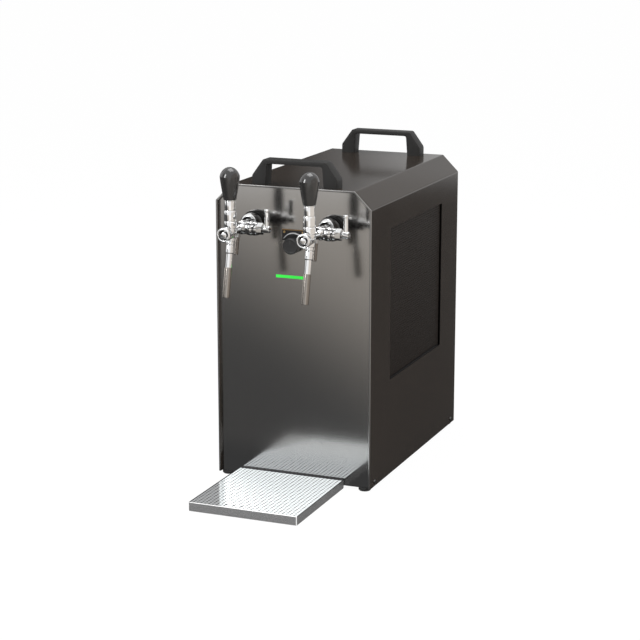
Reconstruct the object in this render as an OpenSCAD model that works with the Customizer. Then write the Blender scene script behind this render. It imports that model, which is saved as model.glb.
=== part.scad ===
// Over-counter beer cooler with two taps. A sheet-steel cabinet holds a dry cooling block,
// a compressor set and an air pump, and a drip tray stands on the counter in front of it.
// X runs to the right, Y to the rear and Z up. The origin is on the counter, midway between
// the tray's front edge and the ends of the rear fittings.

/* [Cabinet] */
// Width over the two side walls
body_w = 290; // [280:1:320]
// Depth of the cover from its front edge to its rear edge
body_d = 466; // [460:1:520]
// Height of the cover from its lower edge to its flat top
body_h = 524; // [515:1:580]
// Width and drop of the sloping shoulder between each side and the top
shoulder = 30.5; // [22:0.5:40]
// Thickness of the cover's sheet
sheet = 1.5; // [1.2:0.1:2]
// Width of the folded rim that frames the front panel
rim_w = 3.5; // [3:0.5:6]
// Distance of the front panel behind the cover's front edge
front_inset = 7; // [5:0.5:9]
// Distance of the rear panel's face in front of the cover's rear edge
rear_inset = 4; // [2:0.5:8]
// Thickness of the front and rear panels
panel_t = 1.5; // [1.2:0.1:2]
// Gap around the edges of the front and rear panels
panel_gap = 0.4; // [0.2:0.1:0.8]
// Thickness of the base pan's sheet
pan_t = 1.5; // [1.2:0.1:2.5]
// Height of the base pan's upturned edges
pan_h = 22; // [19:1:30]
// Width of the flange that carries the rear panel
flange_w = 12; // [11:1:16]
// Height of the rubber feet
foot_h = 5; // [4:0.5:8]
// Diameter of the rubber feet
foot_d = 22; // [18:1:24]

/* [Side screens] */
// Distance of the side openings behind the cover's front edge
screen_y = 96; // [80:1:110]
// Length of the side openings
screen_len = 276; // [240:1:290]
// Height of the side openings' lower edge above the cover's lower edge
screen_low = 175; // [150:1:190]
// Height of the side openings
screen_h = 272; // [240:1:285]
// Depth of the screens' field behind the cover's outer face
screen_depth = 3; // [2.5:0.5:6]
// Thickness of the screens' sheet
screen_t = 1; // [0.8:0.1:1.5]
// Lap of the screens behind the edges of the openings
screen_lap = 10; // [6:1:14]
// Diameter of the holes in the screens
screen_hole_d = 7; // [4:0.5:9]
// Distance between the holes in the screens
screen_pitch = 16; // [14:1:24]

/* [Carrying handles] */
// Length of a handle over its two legs
handle_l = 158; // [140:1:180]
// Depth of a handle from front to rear
handle_t = 26; // [20:1:32]
// Height of a handle above the cover
handle_h = 44.5; // [40:0.5:60]
// Width of a handle's legs
handle_leg = 25; // [20:1:30]
// Thickness of a handle's grip bar
handle_bar = 8; // [7:0.5:12]
// Length of the bevel at a handle's upper corners
handle_bevel_l = 21; // [12:1:24]
// Height of the bevel at a handle's upper corners
handle_bevel_h = 29; // [18:1:32]
// Distance of the front handle behind the cover's front edge
handle_front = 8; // [8:1:30]
// Distance of the rear handle in front of the cover's rear edge
handle_rear = 10; // [8:1:30]

/* [Drip tray] */
// Width of the drip tray
tray_w = 199; // [180:1:220]
// Reach of the drip tray in front of the cover's front edge
tray_out = 206; // [180:1:240]
// Height of the drip tray
tray_h = 16; // [14:0.5:24]
// Thickness of the drip tray's sheet
tray_t = 1.2; // [1:0.1:1.5]
// Sideways offset of the drip tray from the cabinet's middle
tray_shift = -5.5; // [-10:0.5:10]
// Width of the tongue that slides under the cabinet
tongue_w = 110; // [80:1:130]
// Length of the tongue under the cabinet
tongue_l = 40; // [20:1:60]
// Thickness of the drip grille's sheet
grille_t = 1; // [0.8:0.1:1.2]
// Gap between the grille and the tray's walls
grille_gap = 0.5; // [0.3:0.1:1]
// Plain edge of the grille around its holes
grille_edge = 8; // [6:1:14]
// Height of the side rails' lower edge above the tray's floor, which leaves beer a way out
rail_up = 3; // [2:0.5:6]
// Number of rows and columns of holes in the grille
grille_n = 15; // [10:1:16]
// Diameter of the holes in the grille
grille_hole_d = 5; // [3:0.5:6]

/* [Taps] */
// Distance between the two taps
tap_pitch = 144; // [130:1:150]
// Height of the taps' barrels above the cover's lower edge
tap_up = 457.5; // [440:0.5:465]
// Distance of the levers in front of the cover's front edge
lever_reach = 97; // [90:1:110]
// Diameter of the threaded shank that passes through the front panel
shank_d = 22; // [18:0.5:24]
// Clearance of the shank in the front panel
shank_gap = 0.3; // [0.1:0.1:0.6]
// Length of the shank behind the front panel
shank_l = 36; // [30:1:40]
// Diameter of the bore that carries the beer
beer_bore = 6; // [5:0.5:7]
// Diameter of the black rosette on the front panel
rosette_d = 49; // [42:1:54]
// Thickness of the black rosette
rosette_t = 11; // [8:0.5:12]
// Diameter of the chrome flange in front of the rosette
collar_d = 39; // [34:1:41]
// Thickness of the chrome flange
collar_t = 16; // [8:0.5:18]
// Diameter of the compensator's cross housing
comp_d = 22.5; // [20:0.5:24]
// Distance of the compensator's cross shaft in front of the cover's front edge
comp_out = 46; // [42:0.5:50]
// Distance from the tap's axis to the compensator pin
comp_side = 44.5; // [42:0.5:50]
// Diameter of the compensator's shaft
comp_shaft_d = 6; // [5:0.5:7]
// Diameter of the compensator's pin
comp_pin_d = 7.5; // [6:0.5:9]
// Height of the compensator's pin above its shaft
comp_pin_h = 34; // [28:1:38]
// Diameter of the ring nut on the tap's face
ring_d = 24.6; // [22:0.2:25]
// Depth of the ring nut
ring_t = 11.5; // [8:0.5:13]
// Height of the lever's pivot above the barrel's axis
pivot_up = 4; // [3:0.5:5]
// Diameter of the lever's ball
ball_d = 18.8; // [17:0.2:20]
// Clearance of the ball in its seat
ball_gap = 0.1; // [0.05:0.05:0.2]
// Running clearance of a turning shaft, measured on the radius
shaft_gap = 0.05; // [0.03:0.01:0.1]
// Diameter of the lever's lower sleeve
sleeve_d = 21; // [20:0.5:22]
// Length of the lever's lower sleeve
sleeve_h = 30; // [24:1:34]
// Diameter of the ferrule under the knob
ferrule_d = 18.5; // [16:0.5:20]
// Length of the ferrule under the knob
ferrule_h = 18; // [12:1:22]
// Length of the black knob
knob_h = 55; // [48:1:62]
// Largest diameter of the black knob
knob_d = 34; // [30:1:38]
// Diameter of the black knob at its foot
knob_foot_d = 21.5; // [19:0.5:24]
// Forward lean of the spout, in degrees
spout_lean = 12.5; // [8:0.5:16]
// Diameter of the spout's upper part
spout_d = 13.5; // [12:0.5:15]
// Diameter of the spout's slim part
spout_slim_d = 11; // [10:0.5:12]
// Length of the spout from its socket to the nozzle
spout_l = 48.5; // [46:0.5:60]
// Diameter of the steel nozzle
nozzle_d = 13; // [12.5:0.5:15]
// Length of the steel nozzle
nozzle_l = 51; // [44:0.5:60]
// Diameter of the vent tube behind the spout
vent_d = 8; // [6:0.5:9]
// Length of the vent tube
vent_l = 30; // [20:1:34]

/* [Thermostat] */
// Height of the thermostat's axis above the cover's lower edge
thermo_up = 423; // [405:1:430]
// Diameter of the thermostat knob
thermo_knob_d = 28.5; // [24:0.5:30]
// Depth of the thermostat knob
thermo_knob_t = 17; // [12:0.5:20]
// Width of the scale plate
plate_w = 43.4; // [40:0.2:50]
// Height of the scale plate
plate_h = 20; // [18:0.5:24]
// Thickness of the scale plate
plate_t = 1.2; // [0.8:0.1:2]
// Radius of the white scale on the plate
scale_r = 21.5; // [20:0.5:23]
// Diameter of the thermostat's shaft
thermo_shaft_d = 6; // [5:0.5:7]

/* [Accent strip] */
// Length of the plain strip on the front panel
strip_l = 57; // [40:1:80]
// Height of the plain strip on the front panel
strip_h = 5; // [3:0.5:9]
// Height of the strip's middle above the cover's lower edge
strip_up = 366; // [340:1:380]

/* [Cooling set] */
// Width of the insulated box
cool_w = 180; // [160:1:184]
// Depth of the insulated box as a share of the cover's depth
cool_share = 0.28; // [0.26:0.005:0.285]
// Height of the insulated box with its lid
cool_h = 310; // [280:1:320]
// Thickness of the insulation
foam_t = 30; // [25:1:34]
// Distance of the insulated box behind the cover's front edge
cool_y = 70; // [66:1:74]
// Outer diameter of the beer lines
line_d = 12; // [10:0.5:13]
// Outer diameter of the refrigerant pipes
pipe_d = 6; // [5:0.5:8]
// Height of the shelf above the base pan
shelf_up = 180; // [172:1:190]
// Thickness of the shelf's sheet
shelf_t = 1.5; // [1.2:0.1:2]
// Thickness of the condenser
cond_t = 44; // [36:1:46]
// Distance of the condenser in front of the rear panel
cond_gap = 60; // [54:1:74]
// Height of the condenser
cond_h = 232; // [210:1:240]
// Distance of the fan's blades from the condenser's ends
fan_edge = 17; // [14:1:27]
// Diameter of the fan motor
motor_d = 56; // [48:1:60]
// Diameter of the compressor's shell as a share of the cover's width
comp_share = 0.47; // [0.42:0.01:0.48]
// Height of the compressor's shell
comp_shell_h = 138; // [125:1:142]
// Gap between the compressor's shell and the beer lines
comp_gap = 8; // [6:0.5:12]
// Gap between the compressor's foot plate and the wiring box
box_gap = 6; // [4:1:10]
// Gap between the wiring box and the cover's wall
box_side = 17; // [14:1:24]

/* [Rear fittings] */
// Outer diameter of the threaded beer inlets
inlet_d = 22.9; // [18:0.1:24]
// Length of the beer inlets' thread
inlet_l = 14; // [10:1:18]
// Distance between the two beer inlets
inlet_pitch = 40; // [34:1:46]
// Diameter of the air outlet's stem
air_tail_d = 8; // [6:0.5:10]
// Travel of the mains switch's rocker, in degrees
rocker_swing = 20; // [14:1:24]

/* [Hidden] */
$fn = 64;
eps = 0.01;

// Planes of the cabinet, with Y counted from the cover's front edge
top_z = foot_h + body_h;
in_x = body_w / 2 - sheet;
panel_back = front_inset + panel_t;
rear_face = body_d - rear_inset;
rear_in = rear_face - panel_t;
pan_z = foot_h + pan_t;
screw_up = 8.5;
screw_y = 22.5;
screw_d = 4;
screw_fit = 0.1;
nut_t = 8;

// Rear fittings, and the place of the origin along Y
inlet_x = -(in_x - flange_w - 17);
inlet_z = foot_h + 55;
inlet_hex = 27;
inlet_hex_t = 7;
air_x = -(in_x - flange_w - 34.5);
air_z = foot_h + 235;
rear_reach = inlet_hex_t + inlet_l - rear_inset;
front_y = (tray_out - body_d - rear_reach) / 2;

// Taps
tap_x = tap_pitch / 2;
tap_z = foot_h + tap_up;
pivot_z = tap_z + pivot_up;
rosette_front = front_inset - rosette_t;
collar_front = rosette_front - collar_t;
neck_d = 9;
barrel_d = 24;
seat_d = ball_d + 3.4;
ring_back = lever_reach + 18;
sleeve_low = 4;
stud_d = 8;
stud_l = 24;
spout_y = lever_reach - 2;
spout_drop = 8;
boss_d = spout_d + 3.4;
boss_l = 7;
socket_l = 4;
slim_from = 24;
slim_in = 14;
vent_out = 69.5;
vent_drop = 13;
gland_t = 9;
gland_x = comp_side - 7.2 - gland_t;
hub_d = 12.6;
hub_l = 12.4;
tail_d = 9.6;
tail_l = 17;

// Thermostat
thermo_z = foot_h + thermo_up;
plate_low = thermo_z + 7;
bush_d = 10;

// Things inside the cabinet
cool_x = -(in_x - pan_t - 4 - cool_w / 2);
cool_top = pan_z + cool_h;
cool_d = body_d * cool_share;
block_w = cool_w - 2 * foam_t;
block_d = cool_d - 2 * foam_t;
block_h = cool_h - 2 * foam_t;
block_top = cool_top - foam_t;
line_wall = 1.2;
line_y = cool_y + cool_d / 2;
line_port_x = cool_x - block_w / 2 + 12;
line_right_x = cool_x + block_w / 2 - 14;
shelf_z = pan_z + shelf_up;
shelf_y = cool_y + cool_d + 12;
shelf_end = rear_in - 26;
shelf_x = body_w / 2 - screen_depth - screen_t - 0.5;
cond_x = in_x - 8 - cond_t;
cond_y = shelf_y + 4;
cond_l = rear_in - cond_gap - cond_y;
fan_d = cond_l - 2 * fan_edge;
fan_y = cond_y + cond_l / 2;
fan_z = shelf_z + shelf_t + cond_h / 2;
shroud_t = 1.5;
shroud_x = cond_x - shroud_t;
rotor_l = 24;
rotor_x = shroud_x - 4 - rotor_l;
motor_l = 36;
motor_x = rotor_x - 5 - motor_l;
fan_shaft_d = 6;
arm_w = 8;
comp_shell_d = body_w * comp_share;
comp_x = inlet_x + line_d / 2 + comp_gap + 2 + comp_shell_d / 2;
riser_x = comp_x + comp_shell_d / 2 + 22;
suction_x = riser_x + 12;
comp_y = (shelf_y + rear_in) / 2;
mount_x = comp_shell_d / 2;
mount_y = mount_x - 6;
mount_h = 14;
plate_z = pan_z + mount_h;
comp_z = plate_z + 3;
box_x = comp_x + mount_x + 12 + box_gap;
box_w = in_x - box_side - box_x;
box_d = 58;
box_h = 78;
box_y = shelf_end - box_d;
harness_x = box_x + 19;
harness_y = box_y + box_d / 2;
iec_x = in_x - flange_w - 40.5;
iec_z = foot_h + 42;
iec_w = 27;
iec_h = 20;
switch_z = iec_z + 40;
rocker_w = 13;
rocker_l = 22;

// Section of the cabinet: two walls, two shoulders and the flat top, moved inwards by i
function section(i, low) =
  let (w = body_w / 2 - i, h = top_z - i, k = shoulder - i * (2 - sqrt(2)))
  [[-w, low], [-w, h - k], [k - w, h], [w - k, h], [w, h - k], [w, low]];

// A slab of the cabinet's section between two distances from the front edge
module slab(i, low, y0, y1)
  translate([0, y1, 0]) rotate([90, 0, 0]) linear_extrude(y1 - y0) polygon(section(i, low));

// Everything is drawn with Y counted from the cover's front edge
module from_front() translate([0, front_y, 0]) children();

// A block between two corners
module block(a, b) translate(a) cube(b - a);

// Round bars along the X and Y axes, from one distance to another
module bar_x(d, x0, x1) translate([x0, 0, 0]) rotate([0, 90, 0]) cylinder(d = d, h = x1 - x0);
module bar_y(d, y0, y1) translate([0, y1, 0]) rotate([90, 0, 0]) cylinder(d = d, h = y1 - y0);
module cone_y(d0, d1, y0, y1)
  translate([0, y1, 0]) rotate([90, 0, 0]) cylinder(d1 = d1, d2 = d0, h = y1 - y0);

// A round pipe through a list of points, with a ball at each bend
module pipe(d, pts) {
  for (i = [0 : len(pts) - 2]) {
    v = pts[i + 1] - pts[i];
    translate(pts[i]) rotate([0, acos(v.z / norm(v)), atan2(v.y, v.x)])
      cylinder(d = d, h = norm(v));
  }
  if (len(pts) > 2)
    for (i = [1 : len(pts) - 2]) translate(pts[i]) sphere(d = d);
}

// Cross-recessed pan head on the XY plane with its shank below
module screw(d, l) {
  difference() {
    cylinder(d1 = 2 * d - 0.4, d2 = 1.5 * d, h = 0.6 * d);
    for (a = [0, 90])
      rotate(a) translate([-d / 2, -d / 10, 0.3 * d]) cube([d, d / 5, d]);
  }
  translate([0, 0, -l]) cylinder(d = d, h = l + eps);
}

// Where the cover is screwed to the base pan, and the rear panel to its flange
module at_side_screws()
  for (s = [-1, 1], y = [screw_y, body_d - screw_y])
    translate([s * body_w / 2, y, foot_h + screw_up]) rotate([0, s * 90, 0]) children();
module at_rear_screws()
  for (s = [-1, 1], z = [0.12, 0.5, 0.88])
    translate([s * (in_x - flange_w / 2), rear_face, foot_h + z * (body_h - shoulder)])
      rotate([-90, 0, 0]) children();
module at_feet()
  for (s = [-1, 1], y = [foot_d / 2 + 1, body_d - foot_d / 2 - 1])
    translate([s * (body_w / 2 - foot_d / 2 - 3), y, 0]) children();
module at_handles() {
  translate([0, handle_front, top_z]) children();
  translate([0, body_d - handle_rear - handle_t, top_z]) children();
}
module at_handle_screws()
  at_handles() for (s = [-1, 1])
    translate([s * (handle_l - handle_leg) / 2, handle_t / 2, 0]) children();
module at_taps() for (s = [-1, 1]) translate([s * tap_x, 0, tap_z]) children();
module at_inlets()
  for (k = [0, 1]) translate([inlet_x, rear_face, inlet_z + k * inlet_pitch]) children();

module base_pan() {
  color("dimgray") from_front() difference() {
    block([-in_x, panel_back, foot_h], [in_x, rear_in, foot_h + pan_h]);
    block([pan_t - in_x, panel_back + pan_t, pan_z],
      [in_x - pan_t, rear_in - pan_t, foot_h + pan_h + 1]);
    at_side_screws() cylinder(d = screw_d + screw_fit, h = 20, center = true);
    at_feet() cylinder(d = screw_d + screw_fit, h = 20);
    at_mounts() cylinder(d = screw_d + screw_fit, h = 40, center = true);
    for (k = [0 : 6])
      block([comp_x - 45, comp_y - 50 + k * 15, 0], [comp_x + 45, comp_y - 44 + k * 15, 20]);
  }
}

module cover() {
  color([0.2, 0.18, 0.17]) from_front() difference() {
    union() {
      difference() {
        slab(0, foot_h, 0, body_d);
        slab(sheet, foot_h - 1, front_inset, body_d + 1);
        slab(rim_w, foot_h - 1, -1, front_inset + 1);
      }
      difference() {
        slab(sheet, foot_h + pan_h + 1, rear_in - sheet, rear_in);
        slab(sheet + flange_w, foot_h, rear_in - 5, rear_in + 5);
      }
    }
    block([-body_w, screen_y, foot_h + screen_low],
      [body_w, screen_y + screen_len, foot_h + screen_low + screen_h]);
    at_side_screws() cylinder(d = screw_d + screw_fit, h = 8, center = true);
    at_rear_screws() cylinder(d = screw_d + screw_fit, h = 20, center = true);
    at_handle_screws() cylinder(d = screw_d + 1 + screw_fit, h = 8, center = true);
  }
}

module front_panel() {
  color([0.5, 0.48, 0.46]) from_front() difference() {
    slab(sheet + panel_gap, foot_h, front_inset, panel_back);
    at_taps() bar_y(shank_d + 2 * shank_gap, 0, 20);
    translate([0, 0, thermo_z]) bar_y(bush_d + 0.2, 0, 20);
    at_plate_screws() cylinder(d = 2.6, h = 12, center = true);
  }
}

module rear_panel() {
  slot_w = 42;
  slot_h = 5;
  color([0.25, 0.24, 0.23]) from_front() difference() {
    slab(sheet + panel_gap, foot_h, rear_in, rear_face);
    at_inlets() bar_y(inlet_d + 0.4, -10, 10);
    translate([air_x, rear_face, air_z]) bar_y(12.4, -10, 10);
    block([iec_x - iec_w / 2, rear_in - 5, iec_z - iec_h / 2],
      [iec_x + iec_w / 2, rear_face + 5, iec_z + iec_h / 2]);
    block([iec_x - rocker_w / 2 - 1.5, rear_in - 5, switch_z - rocker_l / 2 - 1.5],
      [iec_x + rocker_w / 2 + 1.5, rear_face + 5, switch_z + rocker_l / 2 + 1.5]);
    at_rear_screws() cylinder(d = screw_d + screw_fit, h = 20, center = true);
    for (i = [-1.5 : 1.5], k = [0 : 13])
      translate([i * 52, rear_in - 5, shelf_z + 90 + k * 14])
        block([-slot_w / 2, 0, 0], [slot_w / 2, 20, slot_h]);
  }
}

// Perforated plate in a side opening: a raised edge laps behind the cover's wall
module side_screen(s) {
  x1 = in_x;
  x0 = body_w / 2 - screen_depth;
  low = foot_h + screen_low;
  cols = floor((screen_len - screen_hole_d) / screen_pitch);
  rows = floor((screen_h - screen_hole_d) / screen_pitch);
  mirror([s < 0 ? 1 : 0, 0, 0]) difference() {
    block([x0 - screen_t, screen_y - screen_lap, low - screen_lap],
      [x1, screen_y + screen_len + screen_lap, low + screen_h + screen_lap]);
    block([x0, screen_y + eps, low + eps],
      [x1 + 1, screen_y + screen_len - eps, low + screen_h - eps]);
    for (i = [0 : cols], k = [0 : rows])
      translate([0, screen_y + screen_len / 2 + (i - cols / 2) * screen_pitch,
          low + screen_h / 2 + (k - rows / 2) * screen_pitch])
        bar_x(screen_hole_d, x0 - 5, x1 + 1);
  }
}
module side_screen_left() color([0.16, 0.15, 0.14]) from_front() side_screen(-1);
module side_screen_right() color([0.16, 0.15, 0.14]) from_front() side_screen(1);

module feet() {
  color("black") from_front() at_feet() {
    cylinder(d1 = foot_d - 3, d2 = foot_d, h = 1.5);
    translate([0, 0, 1.5]) cylinder(d = foot_d, h = foot_h - 1.5);
    cylinder(d = screw_d, h = foot_h + pan_t + 3);
  }
}

// Moulded bridge with bevelled upper corners and a screw post in each leg
module carry_handle() {
  a = handle_l / 2;
  h = handle_h;
  hole = a - handle_leg;
  difference() {
    translate([0, handle_t, 0]) rotate([90, 0, 0]) linear_extrude(handle_t) difference() {
      polygon([[-a, 0], [-a, h - handle_bevel_h], [handle_bevel_l - a, h],
        [a - handle_bevel_l, h], [a, h - handle_bevel_h], [a, 0]]);
      polygon([[-hole, -1], [-hole, h - handle_bar - 6], [6 - hole, h - handle_bar],
        [hole - 6, h - handle_bar], [hole, h - handle_bar - 6], [hole, -1]]);
    }
    for (s = [-1, 1]) translate([s * (a - handle_leg / 2), handle_t / 2, -1])
      cylinder(d = screw_d + 1 + screw_fit, h = 17);
  }
}
module carry_handle_front() color([0.09, 0.09, 0.09]) from_front()
  translate([0, handle_front, top_z]) carry_handle();
module carry_handle_rear() color([0.09, 0.09, 0.09]) from_front()
  translate([0, body_d - handle_rear - handle_t, top_z]) carry_handle();
module handle_screws() color("silver") from_front() at_handle_screws()
  translate([0, 0, -sheet]) mirror([0, 0, 1]) screw(screw_d + 1, sheet + 13);
module casing_screws() color("black") from_front() {
  at_side_screws() screw(screw_d, 8);
  at_rear_screws() screw(screw_d, 8);
}
module accent_strip() color([0.15, 0.85, 0.25]) from_front()
  block([-strip_l / 2 + tray_shift, front_inset - 0.6, foot_h + strip_up - strip_h / 2],
    [strip_l / 2 + tray_shift, front_inset, foot_h + strip_up + strip_h / 2]);

// Open tray with a tongue that slides under the cabinet
module drip_tray() {
  y1 = front_inset - 0.3;
  color("silver") from_front() translate([tray_shift, 0, 0]) {
    difference() {
      block([-tray_w / 2, -tray_out, 0], [tray_w / 2, y1, tray_h]);
      block([tray_t - tray_w / 2, tray_t - tray_out, tray_t],
        [tray_w / 2 - tray_t, y1 - tray_t, tray_h + 1]);
    }
    block([-tongue_w / 2, y1 - eps, 0.8], [tongue_w / 2, y1 + tongue_l, 0.8 + tray_t]);
  }
}

// The grille's half width and its rear and front ends, inside the tray's walls
grille_x = tray_w / 2 - tray_t - grille_gap;
grille_y = [tray_t + grille_gap - tray_out, front_inset - 0.3 - tray_t - grille_gap];
grille_top = tray_h - 0.4;

// Flat perforated plate, flush with the tray's edge
module drip_grille() {
  step_x = 2 * (grille_x - grille_edge) / (grille_n - 1);
  step_y = (grille_y[1] - grille_y[0] - 2 * grille_edge) / (grille_n - 1);
  color("gainsboro") from_front() translate([tray_shift, 0, 0]) difference() {
    block([-grille_x, grille_y[0], grille_top - grille_t], [grille_x, grille_y[1], grille_top]);
    for (i = [0 : grille_n - 1], k = [0 : grille_n - 1])
      translate([grille_edge - grille_x + i * step_x, grille_y[0] + grille_edge + k * step_y, grille_top - 5])
        cylinder(d = grille_hole_d, h = 10);
  }
}

// Four rails under the plate's edges, which stand on the tray's floor
module grille_rails() {
  z1 = grille_top - grille_t;
  color("gainsboro") from_front() translate([tray_shift, 0, 0]) {
    for (y = [grille_y[0], grille_y[1] - grille_t])
      block([-grille_x, y, tray_t], [grille_x, y + grille_t, z1]);
    for (x = [-grille_x, grille_x - grille_t])
      block([x, grille_y[0] + grille_t + 0.2, tray_t + rail_up],
        [x + grille_t, grille_y[1] - grille_t - 0.2, z1]);
  }
}

// Chrome tap body, from the shank behind the panel to the seat of the lever's ball
module tap_body() {
  cone_back = comp_out + 9;
  difference() {
    union() {
      bar_y(shank_d, collar_front + 1, panel_back + shank_l);
      bar_y(tail_d, panel_back + shank_l - 1, panel_back + shank_l + tail_l);
      cone_y(collar_d - 9, collar_d, collar_front, collar_front + 4);
      bar_y(collar_d, collar_front + 4, rosette_front);
      bar_y(barrel_d, -cone_back, collar_front + 1);
      cone_y(neck_d, barrel_d - 4, -cone_back - 10, -cone_back);
      bar_y(neck_d, -lever_reach + 10, -cone_back - 9);
      translate([0, -comp_out, 0]) bar_x(comp_d, -15, gland_x);
      translate([0, -comp_out, 0]) bar_x(comp_d + 3, 14, 18);
      translate([0, -lever_reach, 0]) difference() {
        union() {
          bar_y(seat_d, lever_reach - ring_back, 0);
          sphere(d = seat_d);
        }
        block([-20, -30, pivot_up - 2.6], [20, 30, 30]);
      }
      bar_y(15.6, -ring_back - 3.5, -ring_back + 1);
      bar_y(11, -ring_back - ring_t + 2, -ring_back + 1);
      at_spout() translate([0, 0, -boss_l]) cylinder(d = boss_d, h = boss_l + 4);
      at_vent() cylinder(d = vent_d + 2.4, h = 9.5);
    }
    translate([0, -lever_reach, pivot_up]) sphere(d = ball_d + 2 * ball_gap);
    bar_y(beer_bore, -lever_reach, panel_back + shank_l + tail_l + 1);
    at_spout() translate([0, 0, -boss_l - 1]) cylinder(d = beer_bore, h = boss_l + 8);
    at_spout() translate([0, 0, -boss_l - 1]) cylinder(d = spout_d + 0.1, h = socket_l + 1);
    translate([0, -comp_out, 0])
      bar_x(comp_shaft_d + 2 * shaft_gap, 1, gland_x + 1);
  }
}
// The axes of the spout and of the vent tube, seen from the tap's barrel
module at_spout() translate([0, -spout_y, -spout_drop]) rotate([-spout_lean, 0, 0]) children();
module at_vent() translate([0, -vent_out, -vent_drop]) rotate([-spout_lean, 0, 0]) children();
module tap_body_left() color("silver") from_front() translate([-tap_x, 0, tap_z]) tap_body();
module tap_body_right() color("silver") from_front() translate([tap_x, 0, tap_z]) tap_body();

module tap_rosettes() {
  r = rosette_d / 2;
  hole = shank_d / 2 + 0.1;
  color([0.06, 0.06, 0.06]) from_front() at_taps() translate([0, front_inset, 0])
    rotate([90, 0, 0]) rotate_extrude()
      polygon([[hole, 0], [r, 0], [r, rosette_t - 5], [r - 1.5, rosette_t - 1.5],
        [r - 4.5, rosette_t], [hole, rosette_t]]);
}
module shank_nuts() color("goldenrod") from_front() at_taps()
  difference() {
    translate([0, panel_back + nut_t, 0]) rotate([90, 0, 0])
      cylinder(d = shank_d * 1.55, h = nut_t, $fn = 6);
    bar_y(shank_d + 0.1, 0, 40);
  }
module face_rings() color("silver") from_front() at_taps() difference() {
  union() {
    bar_y(ring_d, -ring_back - ring_t + 1.2, -ring_back);
    cone_y(ring_d - 2.4, ring_d, -ring_back - ring_t, -ring_back - ring_t + 1.2);
  }
  bar_y(15.7, -ring_back - 4, -ring_back + 1);
  bar_y(ring_d - 8, -ring_back - ring_t - 1, -ring_back - 3.5);
}
module gland_nuts() color("silver") from_front() at_taps() translate([0, -comp_out, 0])
  difference() {
    translate([gland_x, 0, 0]) rotate([0, 90, 0]) cylinder(d = comp_d - 2, h = gland_t, $fn = 6);
    bar_x(comp_shaft_d + 2 * shaft_gap, 0, comp_side);
  }
module vent_tubes() color("silver") from_front() at_taps() at_vent()
  translate([0, 0, -vent_l]) difference() {
    union() {
      cylinder(d1 = vent_d - 2, d2 = vent_d, h = 1);
      translate([0, 0, 1]) cylinder(d = vent_d, h = vent_l - 1);
    }
    translate([0, 0, -1]) cylinder(d = vent_d - 3, h = vent_l - 2);
  }

// Lever: the ball, the two chrome sleeves and the stud for the knob
module tap_lever() {
  waist = sleeve_low + 0.4 * sleeve_h;
  sphere(d = ball_d);
  translate([0, 0, sleeve_low]) cylinder(d = sleeve_d, h = waist - sleeve_low - 0.5);
  translate([0, 0, waist - 1]) cylinder(d = sleeve_d - 1.4, h = 2);
  translate([0, 0, waist + 0.5]) cylinder(d = sleeve_d, h = 0.6 * sleeve_h - 2);
  translate([0, 0, sleeve_low + sleeve_h - 1.5 - eps])
    cylinder(d1 = sleeve_d, d2 = ferrule_d, h = 1.5);
  translate([0, 0, sleeve_low + sleeve_h - eps]) cylinder(d = ferrule_d, h = ferrule_h);
  translate([0, 0, sleeve_low + sleeve_h + ferrule_h - eps]) cylinder(d = stud_d, h = stud_l);
}
// Black knob that widens from its foot to a domed head
module tap_knob() {
  r0 = knob_foot_d / 2;
  r1 = knob_d / 2;
  dome = r1 * 0.86;
  wide = knob_h - dome;
  difference() {
    rotate_extrude() polygon(concat(
      [[0, 0], [r0, 0], [r0 + 0.12 * (r1 - r0), 0.12 * wide], [r1 - 0.05 * r1, 0.86 * wide]],
      [for (a = [0 : 7.5 : 90]) [r1 * cos(a), wide + dome * sin(a)]]));
    translate([0, 0, -1]) cylinder(d = stud_d + 0.1, h = stud_l + 2);
  }
}
module at_lever(s) from_front() translate([s * tap_x, -lever_reach, pivot_z]) children();
module tap_lever_left() color("silver") at_lever(-1) tap_lever();
module tap_lever_right() color("silver") at_lever(1) tap_lever();
module tap_knob_left() color([0.1, 0.1, 0.1]) at_lever(-1)
  translate([0, 0, sleeve_low + sleeve_h + ferrule_h]) tap_knob();
module tap_knob_right() color([0.1, 0.1, 0.1]) at_lever(1)
  translate([0, 0, sleeve_low + sleeve_h + ferrule_h]) tap_knob();

// Chrome spout that stands in the tap's socket and reaches into the nozzle
module tap_spout() at_spout() translate([0, 0, -boss_l + socket_l]) mirror([0, 0, 1])
  difference() {
    union() {
      cylinder(d = spout_d, h = slim_from);
      translate([0, 0, slim_from - eps]) cylinder(d1 = spout_d, d2 = spout_slim_d, h = 1.5);
      translate([0, 0, slim_from]) cylinder(d = spout_slim_d, h = spout_l - slim_from + slim_in);
    }
    translate([0, 0, -1]) cylinder(d = beer_bore, h = spout_l + slim_in + 2);
  }
module nozzle() at_spout() translate([0, 0, -boss_l + socket_l - spout_l]) mirror([0, 0, 1])
  difference() {
    cylinder(d = nozzle_d, h = nozzle_l);
    translate([0, 0, -1]) cylinder(d = spout_slim_d + 0.1, h = slim_in + 1);
    translate([0, 0, -1]) cylinder(d = nozzle_d - 3, h = nozzle_l + 2);
  }
module tap_spout_left() color("silver") from_front() translate([-tap_x, 0, tap_z]) tap_spout();
module tap_spout_right() color("silver") from_front() translate([tap_x, 0, tap_z]) tap_spout();
module nozzle_left() color([0.65, 0.62, 0.58]) from_front() translate([-tap_x, 0, tap_z]) nozzle();
module nozzle_right() color([0.65, 0.62, 0.58]) from_front() translate([tap_x, 0, tap_z]) nozzle();

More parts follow.
